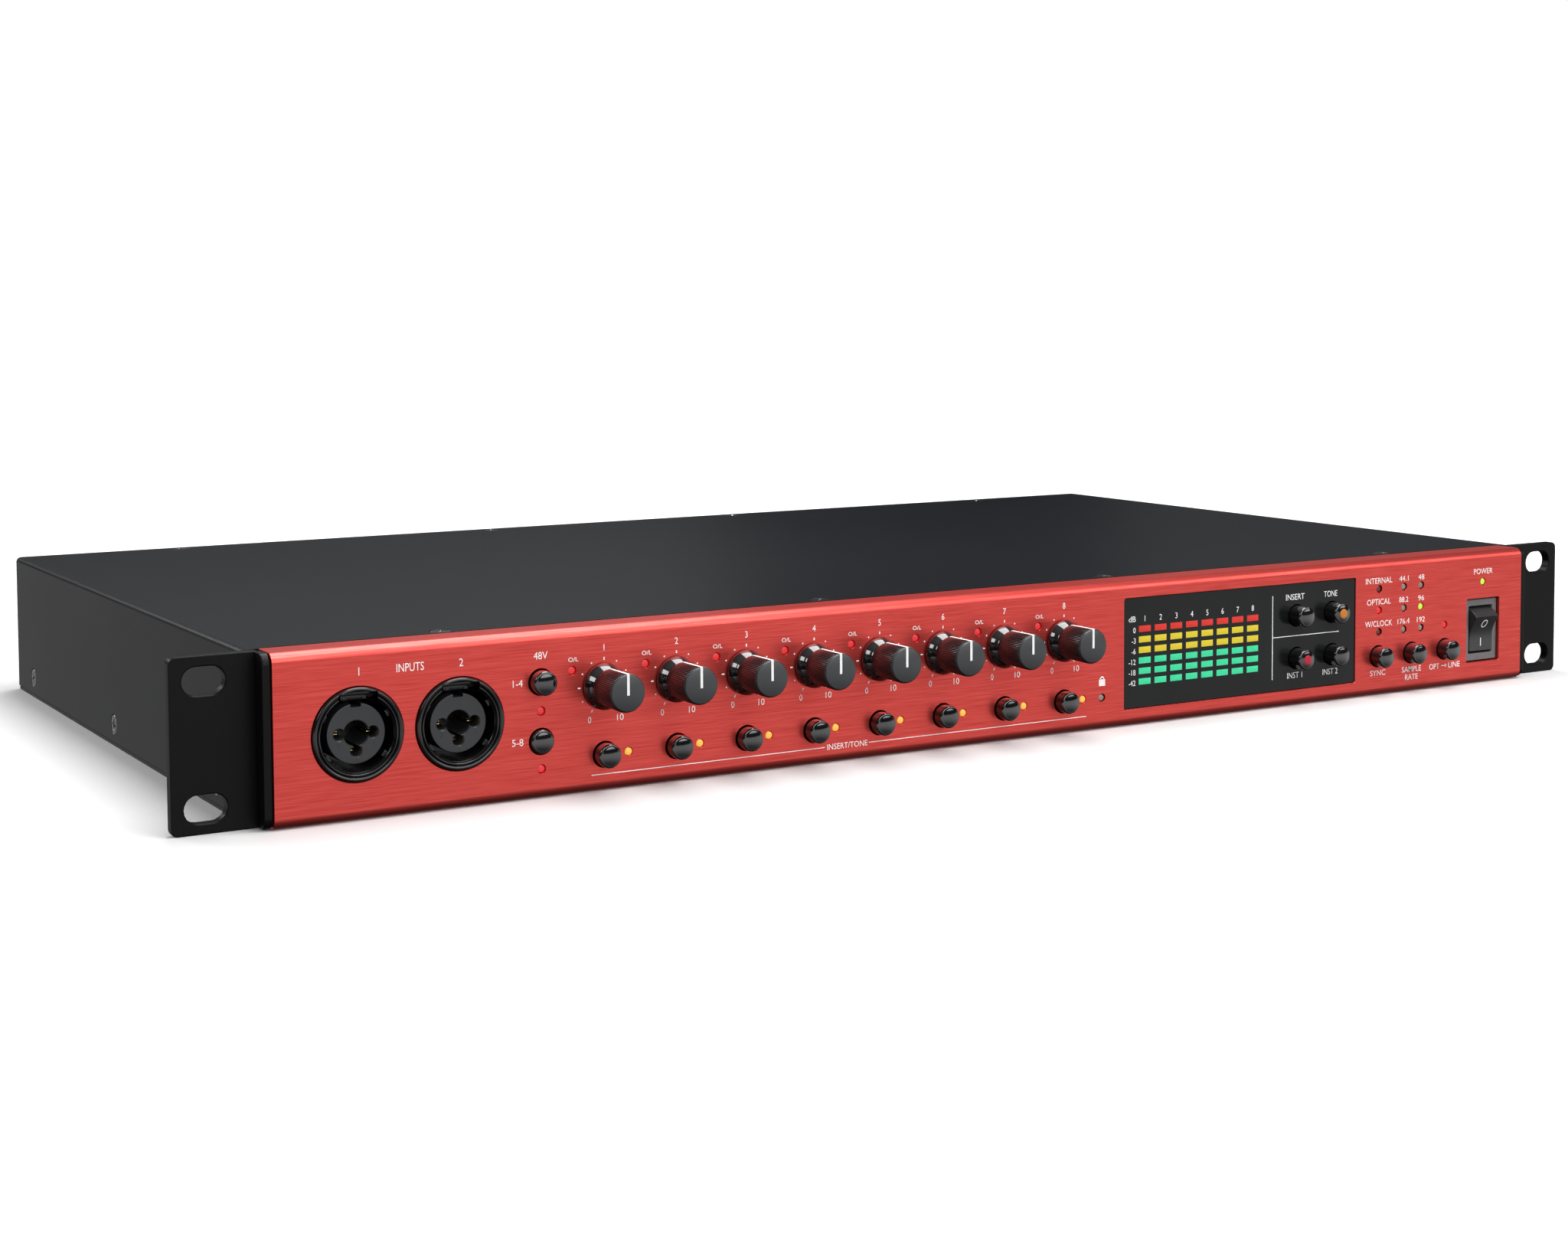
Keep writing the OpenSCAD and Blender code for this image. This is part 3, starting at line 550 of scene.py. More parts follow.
LED_RED = glowing("led_red", (0.45, 0.03, 0.032), (0.90, 0.055, 0.070), 0.45)
LED_AMBER = glowing("led_amber", (0.5, 0.28, 0.05), (0.86, 0.50, 0.10), 0.72)
LED_GREEN = glowing("led_green", (0.22, 0.45, 0.04), (0.50, 0.92, 0.09), 0.92)
LENS_ORANGE = glowing("lens_orange", (0.42, 0.14, 0.02), (0.80, 0.26, 0.02), 0.20)
LENS_RED = glowing("lens_red", (0.35, 0.013, 0.03), (0.78, 0.018, 0.055), 0.16)
UNLIT_GREY = moulded("lens_grey", (0.25, 0.21, 0.175), 0.32, 0.05, coat=0.3)
UNLIT_RED = moulded("lens_dark_red", (0.13, 0.014, 0.012), 0.30, 0.05, coat=0.1)


# ---------------------------------------------------------------- what the CAD frame holds

def whole_solid(start, seen):
    """Places of the vertices that are joined to the first one."""
    places, front = [], [start]
    seen.add(start)
    while front:
        vert = front.pop()
        places.append(vert.co)
        for edge in vert.link_edges:
            other = edge.other_vert(vert)
            if other not in seen:
                seen.add(other)
                front.append(other)
    return places


def solids(node):
    """Lowest and highest corner of each separate solid of a node, from left to right."""
    bm = bmesh.new()
    bm.from_mesh(nodes[node].data)
    bmesh.ops.remove_doubles(bm, verts=bm.verts, dist=1e-6)
    found, seen = [], set()
    for vert in bm.verts:
        if vert not in seen:
            places = whole_solid(vert, seen)
            corners = [Vector([pick(p[k] for p in places) for k in range(3)]) for pick in (min, max)]
            found.append(design(corners))
    bm.free()
    return sorted(found, key=lambda s: (round(s[0].x, 2), round(s[0].z, 2)))


def centres(node):
    return [(low + high) / 2 for low, high in solids(node)]


def middles(*names):
    return {name: middle(name) for name in names}


LAMPS = {name: centres(name) for name in ("red_leds", "amber_leds", "green_leds", "unlit_leds")}
INSERT_BUTTONS = middles(*(f"insert_button_{i}" for i in CHANNELS))
PHANTOM_BUTTONS = middles("phantom_button_1_4", "phantom_button_5_8")
CLOCK_BUTTONS = middles("sync_button", "sample_rate_button", "line_source_button")
WINDOW_BUTTONS = middles("insert_select_button", "tone_button", "instrument_button_1",
                         "instrument_button_2")
SOCKETS = centres("socket_insulators")
FRONT_SOCKETS = [s for s in SOCKETS if s.y < REAR / 2]
REAR_SOCKETS = [s for s in SOCKETS if s.y > REAR / 2]
WIN_LOW, WIN_HIGH = span("meter_window")
WIN_FACE = WIN_LOW.y                   # front face of the window, behind the panel's face
WIN_MARGIN = 2.0                       # width of the window's rim behind the panel
WIN_SIZE = (WIN_HIGH.x - WIN_LOW.x - 2 * WIN_MARGIN, WIN_HIGH.z - WIN_LOW.z - 2 * WIN_MARGIN)
WIN_CENTRE = ((WIN_LOW.x + WIN_HIGH.x) / 2, (WIN_LOW.z + WIN_HIGH.z) / 2)
BUTTON_R = 3.25
LAMP_R = 1.15
RING_R = 12.05                         # outer radius of a combination socket
ROCKER = (199.7, 18.0)                 # place of the rocker's pivot
PIVOT_DEPTH = 4.0
SHEET = 1.2                            # thickness of the case's sheet metal
SLOT_SPACING = (465.1, 31.75)          # between the rack ears' slots
ROWS = (32.3, 12.1)                    # heights of the two connector rows at the back
INLET = (194.7, 22.2)
DSUBS = [(128, ROWS[0]), (128, ROWS[1]), (68, ROWS[0])]
POST_SPAN = 47.1                       # between a multi-way socket's jack posts
NETWORK = [(58, ROWS[1]), (79, ROWS[1])]
CLOCKS = [(27, z) for z in ROWS]
COMPUTER = [(8, z) for z in ROWS]
OPTICAL = [(x, z) for z in ROWS for x in (-36, -18)]
UNDERSIDE_SCREWS = [(x, y) for x in (-195, 0, 195) for y in (32, 222)]


def screw_places():
    """Each case screw's place and kind: those of the CAD node, and the ones under the tray."""
    found = {"sunk": [], "pan": [], "under": [on_floor(x, y) for x, y in UNDERSIDE_SCREWS]}
    for low, high in solids("case_screws"):
        at = (low + high) / 2
        if high.z > TOP - 0.5:
            found["sunk"].append(on_top(at.x, at.y))
        elif high.y > REAR + 0.5:
            found["pan"].append(on_rear(at.x, at.z, high.y - REAR - 1.5))
        else:
            found["sunk"].append(on_side(1 if at.x > 0 else -1, at.y, at.z))
    return found


SCREWS = screw_places()


def pairs(points):
    return [(p.x, p.z) for p in points]


# ---------------------------------------------------------------- case

def front_panel():
    low, high = span("front_panel")
    radius, wall, flange = 2.6, 3.0, 1.1
    profile = ([(high.y, low.z)] + arc((radius, low.z + radius), radius, 270, 180)
               + arc((radius, high.z - radius), radius, 180, 90)
               + [(high.y, high.z), (high.y, high.z - flange), (wall, high.z - flange),
                  (wall, low.z + flange), (high.y, low.z + flange)])
    bar = extruded_x(profile, low.x, high.x, 0.0)
    button_hole = circle(BUTTON_R + 0.25)
    openings = [(circle(3.6), 0.2, pairs(KNOBS))]
    openings += [(button_hole, 0.15, pairs(group.values()))
                 for group in (INSERT_BUTTONS, PHANTOM_BUTTONS, CLOCK_BUTTONS)]
    openings += [(circle(LAMP_R + 0.1, 32), 0.04, pairs(group)) for group in LAMPS.values()]
    openings += [(circle(RING_R + 0.1, 96), 0.2, pairs(FRONT_SOCKETS)),
                 (rectangle(WIN_SIZE[0] + 0.25, WIN_SIZE[1] + 0.25, 0.7), 0.15, [WIN_CENTRE]),
                 (rectangle(15.1, 21.2, 0.5), 0.15, [ROCKER])]
    tools = [moved(plug(outline, 6, flare), on_front(*spot))
             for outline, flare, spots in openings for spot in spots]
    piece("front_panel_detailed", carved(bar, joined(tools)), RED, "red_anodised",
          stands_for=["front_panel"], even=True)


def rack_ear(side, node):
    """A rack ear: the slotted plate, the cheek beside the front panel, the tab inside the cover."""
    low, high = span("rack_ear_right")
    setback, thick, slot_depth = 6.55, 3.3, 2.0
    outline = rounded([(low.x, 0), (high.x, 0), (high.x, high.z), (low.x, high.z)], 1.8)
    plate = moved(prism(outline, -setback - thick, -setback, 0.35), IN_FRONT)
    for z in (TOP / 2 - SLOT_SPACING[1] / 2, TOP / 2 + SLOT_SPACING[1] / 2):
        for out, flip in ((-setback, 0), (-setback - thick, math.pi)):
            place = on_front(SLOT_SPACING[0] / 2, z, out) @ Matrix.Rotation(flip, 4, "Y")
            plate = carved(plate, moved(plug(rectangle(11.0, 7.2, 3.59), slot_depth, 0.3), place))
    cheek_r, front, back, width = 3.2, 0.55, setback + 0.5, 2.1
    lower, upper = 0.3, TOP - 0.1
    profile = ([(back, lower)] + arc((front + cheek_r, lower + cheek_r), cheek_r, 270, 180, 8)
               + arc((front + cheek_r, upper - cheek_r), cheek_r, 180, 90, 8) + [(back, upper)])
    cheek = extruded_x(profile, low.x, low.x + width, 0.3)
    tab = block((low.x, setback + 1, 2), (low.x + 1.35, high.y, TOP - 2.4))
    ear = joined([plate, cheek, tab])
    if side < 0:
        bmesh.ops.scale(ear, vec=(-1, 1, 1), verts=ear.verts)
        bmesh.ops.reverse_faces(ear, faces=ear.faces)
    piece(f"{node}_detailed", ear, EAR, "ear_black", stands_for=[node], even=True)


def cover_section(half, top, radius, foot):
    """Open outline of the folded cover, from the left foot over the top to the right foot."""
    return ([(-half, foot)] + arc((-half + radius, top - radius), radius, 180, 90, 6)
            + arc((half - radius, top - radius), radius, 90, 0, 6) + [(half, foot)])


def top_cover():
    low, high = span("top_cover")
    radius, panel_back = 1.6, 11.0
    outer = cover_section(high.x, high.z, radius, low.z)
    inner = cover_section(high.x - SHEET, high.z - SHEET, radius - SHEET, low.z)
    rim = outer + inner[::-1]
    shell = loft([[(x, y, z) for x, z in rim] for y in (low.y, high.y)])
    notch = span("front_panel")[1].x + 0.1
    shell = carved(shell, block((-notch, low.y - 1, high.z - SHEET - 1), (notch, panel_back, high.z + 1)))
    piece("top_cover_detailed", carved(shell, countersinks("sunk")), CASE, "powder_black",
          stands_for=["top_cover"], even=True)


def countersinks(kind):
    """Cutters for the holes of the flush screws."""
    levels = ((1.55, -1.6), (1.55, -1.35), (3.1, 0.0), (3.1, 1.0))
    return joined([moved(loft([ring(r, w, 40) for r, w in levels]), place) for place in SCREWS[kind]])


def cross_recess(depth, top, width=0.62, reach=1.75):
    """Cutters for a cross recess that narrows downwards."""
    levels = ((reach * 0.35, width * 0.3, top - depth), (reach, width / 2, top), (reach, width / 2, top + 1))
    arms = []
    for turn in (0, math.pi / 2):
        rings = [[(u * f, v * g, w) for u, v in ((-1, -1), (1, -1), (1, 1), (-1, 1))] for f, g, w in levels]
        arms.append(moved(loft(rings), Matrix.Rotation(turn, 4, "Z")))
    return arms


def screw(profile, depth, top):
    head = lathe([(0, -3), (1.45, -3)] + profile, 48)
    for arm in cross_recess(depth, top):
        head = carved(head, arm)
    return as_mesh(head, SCREW)


def case_screws():
    sunk = screw([(1.45, -1.3), (2.8, -0.2), (2.86, -0.13), (2.8, -0.06), (1.6, 0.0), (0, 0.02)], 1.1, 0.02)
    pan = screw([(1.45, 0), (2.8, 0), (2.85, 0.3)] + arc((1.75, 0.35), 1.1, 10, 80, 5)
                + [(0.8, 1.5), (0, 1.52)], 1.0, 1.52)
    count = 0
    for kind, mesh in (("sunk", sunk), ("pan", pan), ("under", sunk)):
        for place in SCREWS[kind]:
            count += 1
            turned = place @ Matrix.Rotation(math.radians(37 * count), 4, "Z")
            show(f"case_screw_{count}", mesh, "dark_steel", place=turned, even=True,
                 stands_for=["case_screws"] if count == 1 else ())


def base_tray():
    """The tray: its floor, the front wall behind the panel with its lip, and two low side walls."""
    low, high = span("base_tray")
    floor_plate = block((low.x, low.y, low.z), (high.x, high.y, SHEET), 0.25, 0.6)
    floor_plate = carved(floor_plate, countersinks("under"))
    half, front, top, bottom = 215, 11.4, 43.2, 1.0
    wall = block((-half, front, bottom), (half, front + SHEET, top), 0.1)
    lip = block((-half, front, top - SHEET), (half, 18.4, top), 0.1)
    sides = [block((x, 20, bottom), (x + SHEET, REAR - 9, 14), 0.1) for x in (-220.2, 219.0)]
    socket_opening = block((-209.6, 8, 8.5), (-153.6, 20, 35.8))
    ribbon_opening = block((-48, 8, 5), (-12, 20, 17))
    switch_opening = block((ROCKER[0] - 7, 8, ROCKER[1] - 10.2), (ROCKER[0] + 7, 20, ROCKER[1] + 10.2))
    wall = carved(wall, joined([socket_opening, ribbon_opening, switch_opening]))
    piece("base_tray_detailed", joined([floor_plate, wall, lip] + sides), CASE, "powder_black",
          stands_for=["base_tray"], even=True)


# ---------------------------------------------------------------- knobs and buttons

def ribbed(levels, ribs, samples=4):
    """Ribbed grip about w; a level is (w, radius, rib height)."""
    count = ribs * samples
    rings = []
    for w, radius, rib in levels:
        points = []
        for i in range(count):
            angle = 2 * math.pi * i / count
            r = radius + rib * (0.5 + 0.5 * math.cos(ribs * angle))
            points.append((r * math.cos(angle), r * math.sin(angle), w))
        rings.append(points)
    return loft(rings)


def knob_parts():
    """Meshes of a gain knob: flared gloss skirt, ribbed grip, turned face, white pointer."""
    stand = -span("gain_knob_1")[0].y
    line = 0.78
    skirt = lathe([(0, 0.5), (6.1, 0.5), (6.25, 0.6), (6.3, 0.75), (6.3, 1.15), (6.24, 1.32),
                   (5.25, 3.05), (5.0, 3.35), (4.86, 3.7), (4.84, 4.2), (0, 4.2)], 96)
    grip = ribbed([(3.7, 4.80, 0), (4.1, 4.84, 0), (4.5, 4.86, 0.14), (8.0, 4.92, 0.17),
                   (stand - 0.75, 4.99, 0.2), (stand - 0.5, 4.95, 0.14), (stand - 0.36, 4.88, 0.0),
                   (stand - 0.34, 4.6, 0.0)], 64)
    face = lathe([(0, stand - 0.7), (4.80, stand - 0.7), (4.86, stand - 0.25), (4.78, stand - 0.08),
                  (4.62, stand), (0, stand)], 96)
    along = block((-line / 2, 4.5, 3.75), (line / 2, 5.16, stand - 0.1), 0.06)
    across = block((-line / 2, -0.55, stand - 0.3), (line / 2, 5.16, stand + 0.02), 0.05)
    return {"skirt": as_mesh(skirt, GLOSS), "grip": as_mesh(grip, GRIP, 50),
            "face": as_mesh(face, DISC, 40), "pointer": as_mesh(joined([along, across]), PRINT)}


def gain_knobs():
    parts = knob_parts()
    for i, k in zip(CHANNELS, KNOBS):
        body = f"gain_knob_{i}"
        for name, mesh in parts.items():
            show(f"knob_{i}_{name}", mesh, "knob_black", body, on_front(k.x, k.z),
                 stands_for=[body] if name == "skirt" else ())


def button_cap(stand, dome=0.42):
    """Round cap with a softly rounded rim and a domed face."""
    r, rim = BUTTON_R, 0.55
    face = [(x, stand - dome * ((x / (r - rim)) ** 2)) for x in (2.7, 2.4, 2.0, 1.5, 1.0, 0.5, 0.2, 0)]
    side = [(0, -3.6), (r, -3.6), (r, stand - dome - rim - 0.05)]
    return lathe(side + arc((r - rim, stand - dome - rim), rim, 8, 82, 5) + face, 72)


def button_lens(stand):
    return lathe([(0, stand - 0.6), (1.5, stand - 0.6), (1.5, stand - 0.08), (1.36, stand),
                  (0.8, stand + 0.03), (0, stand + 0.04)], 40)


def buttons():
    lenses = {"tone_button": (LENS_ORANGE, "led_amber"), "instrument_button_1": (LENS_RED, "led_red")}
    meshes = {}
    for group in (INSERT_BUTTONS, PHANTOM_BUTTONS, CLOCK_BUTTONS, WINDOW_BUTTONS):
        for node, at in group.items():
            stand = round(-span(node)[0].y, 2)
            if stand not in meshes:
                meshes[stand] = as_mesh(button_cap(stand), GLOSS, 40)
            place = on_front(at.x, at.z)
            show(f"{node}_cap", meshes[stand], "button_black", node, place, stands_for=[node])
            if node in lenses:
                piece(f"{node}_lens", button_lens(stand), *lenses[node], body=node, place=place)


# ---------------------------------------------------------------- lamps and meter

def lamp(recess):
    r = LAMP_R - 0.14
    return lathe([(0, -4), (r, -4), (r, -recess - 0.3), (r - 0.08, -recess - 0.14),
                  (r - 0.3, -recess - 0.03), (0, -recess + 0.05)], 40)


def lamps():
    clock_x = middle("sync_button").x
    unlit = LAMPS["unlit_leds"]
    red = [p for p in unlit if abs(p.x - clock_x) < 2]
    grey = [p for p in unlit if p not in red]
    rows = [("red_leds", "domed", LAMPS["red_leds"], LED_RED, "led_red"),
            ("amber_leds", "domed", LAMPS["amber_leds"], LED_AMBER, "led_amber"),
            ("green_leds", "domed", LAMPS["green_leds"], LED_GREEN, "led_green"),
            ("unlit_leds", "grey", grey, UNLIT_GREY, "led_unlit"),
            ("unlit_leds", "red", red, UNLIT_RED, "led_unlit")]
    for node, kind, spots, look, finish in rows:
        recess = span(node)[0].y
        parts = [moved(lamp(recess), on_front(p.x, p.z)) for p in spots]
        piece(f"{node}_{kind}", joined(parts), look, finish, stands_for=() if kind == "red" else [node])


def meter():
    width, height = WIN_SIZE
    pane = prism(rectangle(width, height, 0.6), -3.0, -WIN_FACE, 0.1)
    rim = prism(rectangle(width + 2 * WIN_MARGIN, height + 2 * WIN_MARGIN, 1.0), -3.6, -3.05)
    pane = moved(joined([pane, rim]), on_front(*WIN_CENTRE))
    tools = [moved(plug(circle(BUTTON_R + 0.25), 6, 0.12), on_front(b.x, b.z, -WIN_FACE))
             for b in WINDOW_BUTTONS.values()]
    piece("meter_window_pane", carved(pane, joined(tools)), WINDOW, "window_black",
          stands_for=["meter_window"], even=True)
    for colour, look in (("red", BAR_RED), ("yellow", BAR_YELLOW), ("green", BAR_GREEN)):
        node = f"meter_bars_{colour}"
        bars = [moved(block((a.x, a.z, -3.5), (b.x, b.z, -WIN_FACE + 0.02), 0.03, 0.08), IN_FRONT)
                for a, b in solids(node)]
        piece(f"{node}_lit", joined(bars), look, f"bar_{colour}", stands_for=[node])


# ---------------------------------------------------------------- combination sockets

SOCKET_DEPTH = 16
SOCKET_FACE = -1.25                    # face of the round insulator


def socket_housing():
    bore = 9.75
    lip = ([(RING_R - 0.1, -3.0), (RING_R, -0.2), (RING_R, 0.25)]
           + arc((RING_R - 0.65, 0.3), 0.65, 10, 90, 5)
           + [(11.25, 0.93), (10.95, 0.72), (10.82, 0.35), (10.7, 0.28), (10.62, 0.4)]
           + arc((10.35, 0.55), 0.25, 20, 150, 5)
           + [(10.1, 0.1), (bore, -0.35), (bore, -SOCKET_DEPTH), (0, -SOCKET_DEPTH),
              (0, -SOCKET_DEPTH - 1), (RING_R - 0.1, -SOCKET_DEPTH - 1)])
    latch_recess = block((-5.2, 5, -5), (5.2, 10.75, 2), 0, 0.5)
    return carved(lathe(lip, 96, closed=True), latch_recess)


def socket_latch():
    """The latch in its guard, with two ridges, and the four keys of the bore."""
    guard = block((-5.1, 9.5, -5), (5.1, 10.7, -2.0), 0.3)
    tongue = block((-3.6, 8.3, -6), (3.6, 9.9, -2.4), 0.4)
    ridges = [block((u - 0.5, 8.4, -2.7), (u + 0.5, 9.2, -2.2), 0.1) for u in (-2.6, 2.6)]
    keys = [moved(block((-0.9, 9.0, -SOCKET_DEPTH), (0.9, 9.9, -1.2), 0.15),
                  Matrix.Rotation(math.radians(a), 4, "Z")) for a in (-128, 128, 62, -62)]
    return joined([guard, tongue] + ridges + keys)


def socket_parts():
    """Meshes of a combination socket: housing, latch, insulator, contacts, moulded numbers."""
    face = SOCKET_FACE
    disc = lathe([(0, -SOCKET_DEPTH), (7.75, -SOCKET_DEPTH), (7.75, face - 0.3), (7.65, face - 0.08),
                  (7.45, face), (0, face)], 96)
    pin_holes = [(4.45, 0, 1.45), (-4.45, 0, 1.45), (0, -4.45, 1.45)]
    for u, v, r in [(0, 0, 3.25)] + pin_holes:
        disc = carved(disc, shifted(plug(circle(r, 40), 13, 0.28), u, v, face))
    disc = carved(disc, block((-1.4, 6.75, -9), (1.4, 9, 2), 0, 0.2))
    contacts = []
    for u, v, _ in pin_holes:
        for side in (-1, 1):
            leaf = block((-0.6, 0.2, -9), (0.6, 0.52, face - 3.4), 0.1)
            leaf = moved(leaf, Matrix.Rotation(math.pi / 2 * (side - 1), 4, "Z"))
            contacts.append(shifted(leaf, u, v))
    figures = joined([words("1", 4.75, -2.75, 1.25), words("2", -4.75, -2.75, 1.25),
                      words("3", 0, -6.5, 1.2)])
    shifted(figures, 0, 0, face - 0.005)
    return {"housing": (as_mesh(socket_housing(), SOCKET, 35), "socket_black", "socket_housings"),
            "latch": (as_mesh(socket_latch(), SOCKET), "socket_black", None),
            "insulator": (as_mesh(disc, INSULATOR, 35), "socket_grey", "socket_insulators"),
            "contacts": (as_mesh(joined(contacts), GOLD), "contact_gold", "socket_contacts"),
            "figures": (as_mesh(figures, MARK), "socket_black", None)}


def sockets():
    parts = socket_parts()
    places = [on_front(*spot) for spot in pairs(FRONT_SOCKETS)]
    places += [on_rear(*spot) for spot in pairs(REAR_SOCKETS)]
    for i, place in enumerate(places):
        fit(f"socket_{i + 1}", parts, place, i == 0, even=("housing", "insulator"))


# ---------------------------------------------------------------- power switch

TILT = math.radians(15)                # of the rocker's two faces, and of the rocker at rest


def rocker_outline(steps=8):
    """Side profile of the rocker as (out, up) from its pivot, with the rocker in its middle position."""
    radius, face, blend = 7.65, 2.9, 3.2
    corner, end = 52.7, 158            # degrees: where the round back begins and ends
    valley = face / math.cos(TILT)
    top = arc((0, 0), radius, corner, end, steps)
    bottom = [(u, -v) for u, v in top[::-1]]
    heights = [blend * k / steps for k in range(-steps, steps + 1)]
    dip = [(valley + blend * math.tan(TILT) * 0.5 * (1 + (v / blend) ** 2), v) for v in heights]
    return bottom + dip + top


def rocker():
    half = 10.3 / 2
    outline = rocker_outline()
    rings = []
    for inset, u in ((0.35, -half), (0.1, -half + 0.12), (0, -half + 0.4),
                     (0, half - 0.4), (0.1, half - 0.12), (0.35, half)):
        rings.append([(u, v * (1 - inset / 7), w - inset * 0.6) for w, v in outline])
    tilted = Matrix.Rotation(TILT, 4, "X")
    place = on_front(*ROCKER, -PIVOT_DEPTH)
    piece("power_rocker_shaped", moved(loft(rings), tilted), ROCKER_BLACK, "rocker_grey",
          body="power_rocker", place=place, stands_for=["power_rocker"], smooth=38, even=True)
    upper = tilted @ Matrix.Rotation(TILT, 4, "X") @ Matrix.Translation((0, 4.15, 2.93))
    lower = tilted @ Matrix.Rotation(-TILT, 4, "X") @ Matrix.Translation((0, -4.2, 2.93))
    levels = ((1.6, 0), (1.6, 0.06), (1.2, 0.06), (1.2, 0))
    off_mark = loft([ring(r, w, 40, 0.78) for r, w in levels], closed=True)
    on_mark = block((-0.2, -1.35, 0), (0.2, 1.35, 0.06), 0.02)
    piece("power_rocker_marks", joined([moved(off_mark, upper), moved(on_mark, lower)]), PRINT,
          "rocker_grey", body="power_rocker", place=place)


def rocker_bezel():
    low, high = span("rocker_housing")
    face = -low.y
    plate = prism(rectangle(high.x - low.x, high.z - low.z, 0.5), face - 1.3, face, 0.25)
    plate = carved(plate, shifted(plug(rectangle(10.7, 15.9, 0.3), 8, 0.25), 0, 0, face))
    well = prism(rectangle(13, 19.2, 0.4), -12, face - 1.0)
    well = carved(well, block((-5.35, -7.95, -11.5), (5.35, 7.95, 5)))
    pips = [block((-1.6, v - 0.28, face - 0.2), (1.6, v + 0.28, face + 0.08), 0.06) for v in (-9.15, 9.15)]
    piece("rocker_bezel", joined([plate, well] + pips), BEZEL, "rocker_grey", place=on_front(*ROCKER),
          stands_for=["rocker_housing"], even=True)


# ---------------------------------------------------------------- lettering on the front

def gain_scale(channel, x, z):
    """Printing round a gain knob: its number, the overload lamp's label, 0, 10 and the marks between."""
    marks = [words(str(channel), x, 38.65, 1.75), words("O/L", x - 9.0, 36.12, 1.12, 2.9, bold=0.02),
             words("0", x - 4.4, 19.6, 1.72), words("10", x + 4.65, 19.58, 1.72, 1.95)]
    inner, outer = 6.98, 7.76
    for step in range(-5, 6):
        angle = math.radians(90 - 30 * step)
        u, v = math.cos(angle), math.sin(angle)
        if step in (-5, -3, 0, 3, 5):
            marks.append(stroke(x + inner * u, z + inner * v, x + outer * u, z + outer * v, 0.36))
        else:
            marks.append(dot(x + 7.39 * u, z + 7.39 * v, 0.22))
    return marks


def padlock(x, z):
    """A padlock's body and shackle, above a lamp."""
    body = block((x - 1.15, z + 3.6, 0), (x + 1.15, z + 5.6, FLUSH))
    bows = ((0.85, range(0, 181, 15)), (0.5, range(180, -1, -15)))
    shackle = [(x + r * math.cos(math.radians(a)), z + 5.5 + 1.2 * r * math.sin(math.radians(a)))
               for r, angles in bows for a in angles]
    return [body, patch(shackle)]


def clock_labels(cap):
    """Labels of the lamps of the clock's source and rate."""
    columns = sorted({round(p.x, 1) for p in LAMPS["unlit_leds"] if p.x > 100})
    rows = ((37.65, "INTERNAL", 11.6, "44.1", 4.1, "48", 2.65),
            (30.75, "OPTICAL", 10.4, "88.2", 4.1, "96", 2.65),
            (23.65, "W/CLOCK", 11.9, "176.4", 5.3, "192", 3.6))
    marks = []
    for z, source, wide, low_rate, low_wide, high_rate, high_wide in rows:
        marks.append(words(source, columns[0] - 0.2, z, cap, wide, bold=0.02))
        marks.append(words(low_rate, columns[1] - 0.2, z, 1.65, low_wide, bold=0.02))
        marks.append(words(high_rate, columns[2] - 0.1, z, 1.65, high_wide, bold=0.02))
    return marks


def front_lettering():
    top_row, cap, rule, foot = 38.05, 1.8, 4.75, 7.5
    upper, lower = PHANTOM_BUTTONS.values()
    sync, rate, line = CLOCK_BUTTONS.values()
    marks = [words(str(i + 1), s.x + 0.5, top_row, 2.0) for i, s in enumerate(FRONT_SOCKETS)]
    sockets_x = (FRONT_SOCKETS[0].x + FRONT_SOCKETS[1].x) / 2 + 0.4
    for text, x, z, height, width in (("INPUTS", sockets_x, top_row, 2.1, 7.4),
                                      ("48V", upper.x, top_row - 0.1, cap + 0.1, 4.0),
                                      ("1-4", upper.x - 6.6, upper.z + 0.1, cap, 2.8),
                                      ("5-8", upper.x - 6.8, lower.z + 0.3, cap, 3.2)):
        marks.append(words(text, x, z, height, width))
    for i, k in zip(CHANNELS, KNOBS):
        marks += gain_scale(i, k.x, k.z)
    marks.append(stroke(KNOBS[0].x - 4.0, rule, KNOBS[3].x + 3.3, rule, 0.22))
    marks.append(stroke(KNOBS[4].x - 3.6, rule, KNOBS[7].x + 8.4, rule, 0.22))
    marks.append(words("INSERT/TONE", (KNOBS[3].x + KNOBS[4].x) / 2, rule, 1.6, 13.4))
    lock = min(LAMPS["unlit_leds"], key=lambda p: p.x)
    marks += padlock(lock.x, lock.z)
    for text, x, z, width in (("SYNC", sync.x, 7.6, 6.6), ("SAMPLE", rate.x + 0.2, 7.62, 8.6),
                              ("RATE", rate.x + 0.2, 5.0, 5.7), ("POWER", ROCKER[0] - 0.2, 37.7, 8.7),
                              ("OPT", line.x - 4.5, foot, 4.5), ("LINE", line.x + 4.55, foot, 5.2)):
        marks.append(words(text, x, z, cap, width, bold=0.02))
    marks.append(stroke(line.x - 1.35, foot, line.x + 0.9, foot, 0.26))
    for side in (-1, 1):
        marks.append(stroke(line.x + 0.35, foot + 0.55 * side, line.x + 1.05, foot, 0.24))
    marks += clock_labels(cap)
    piece("front_lettering", moved(joined(marks), IN_FRONT), PRINT, "red_anodised")


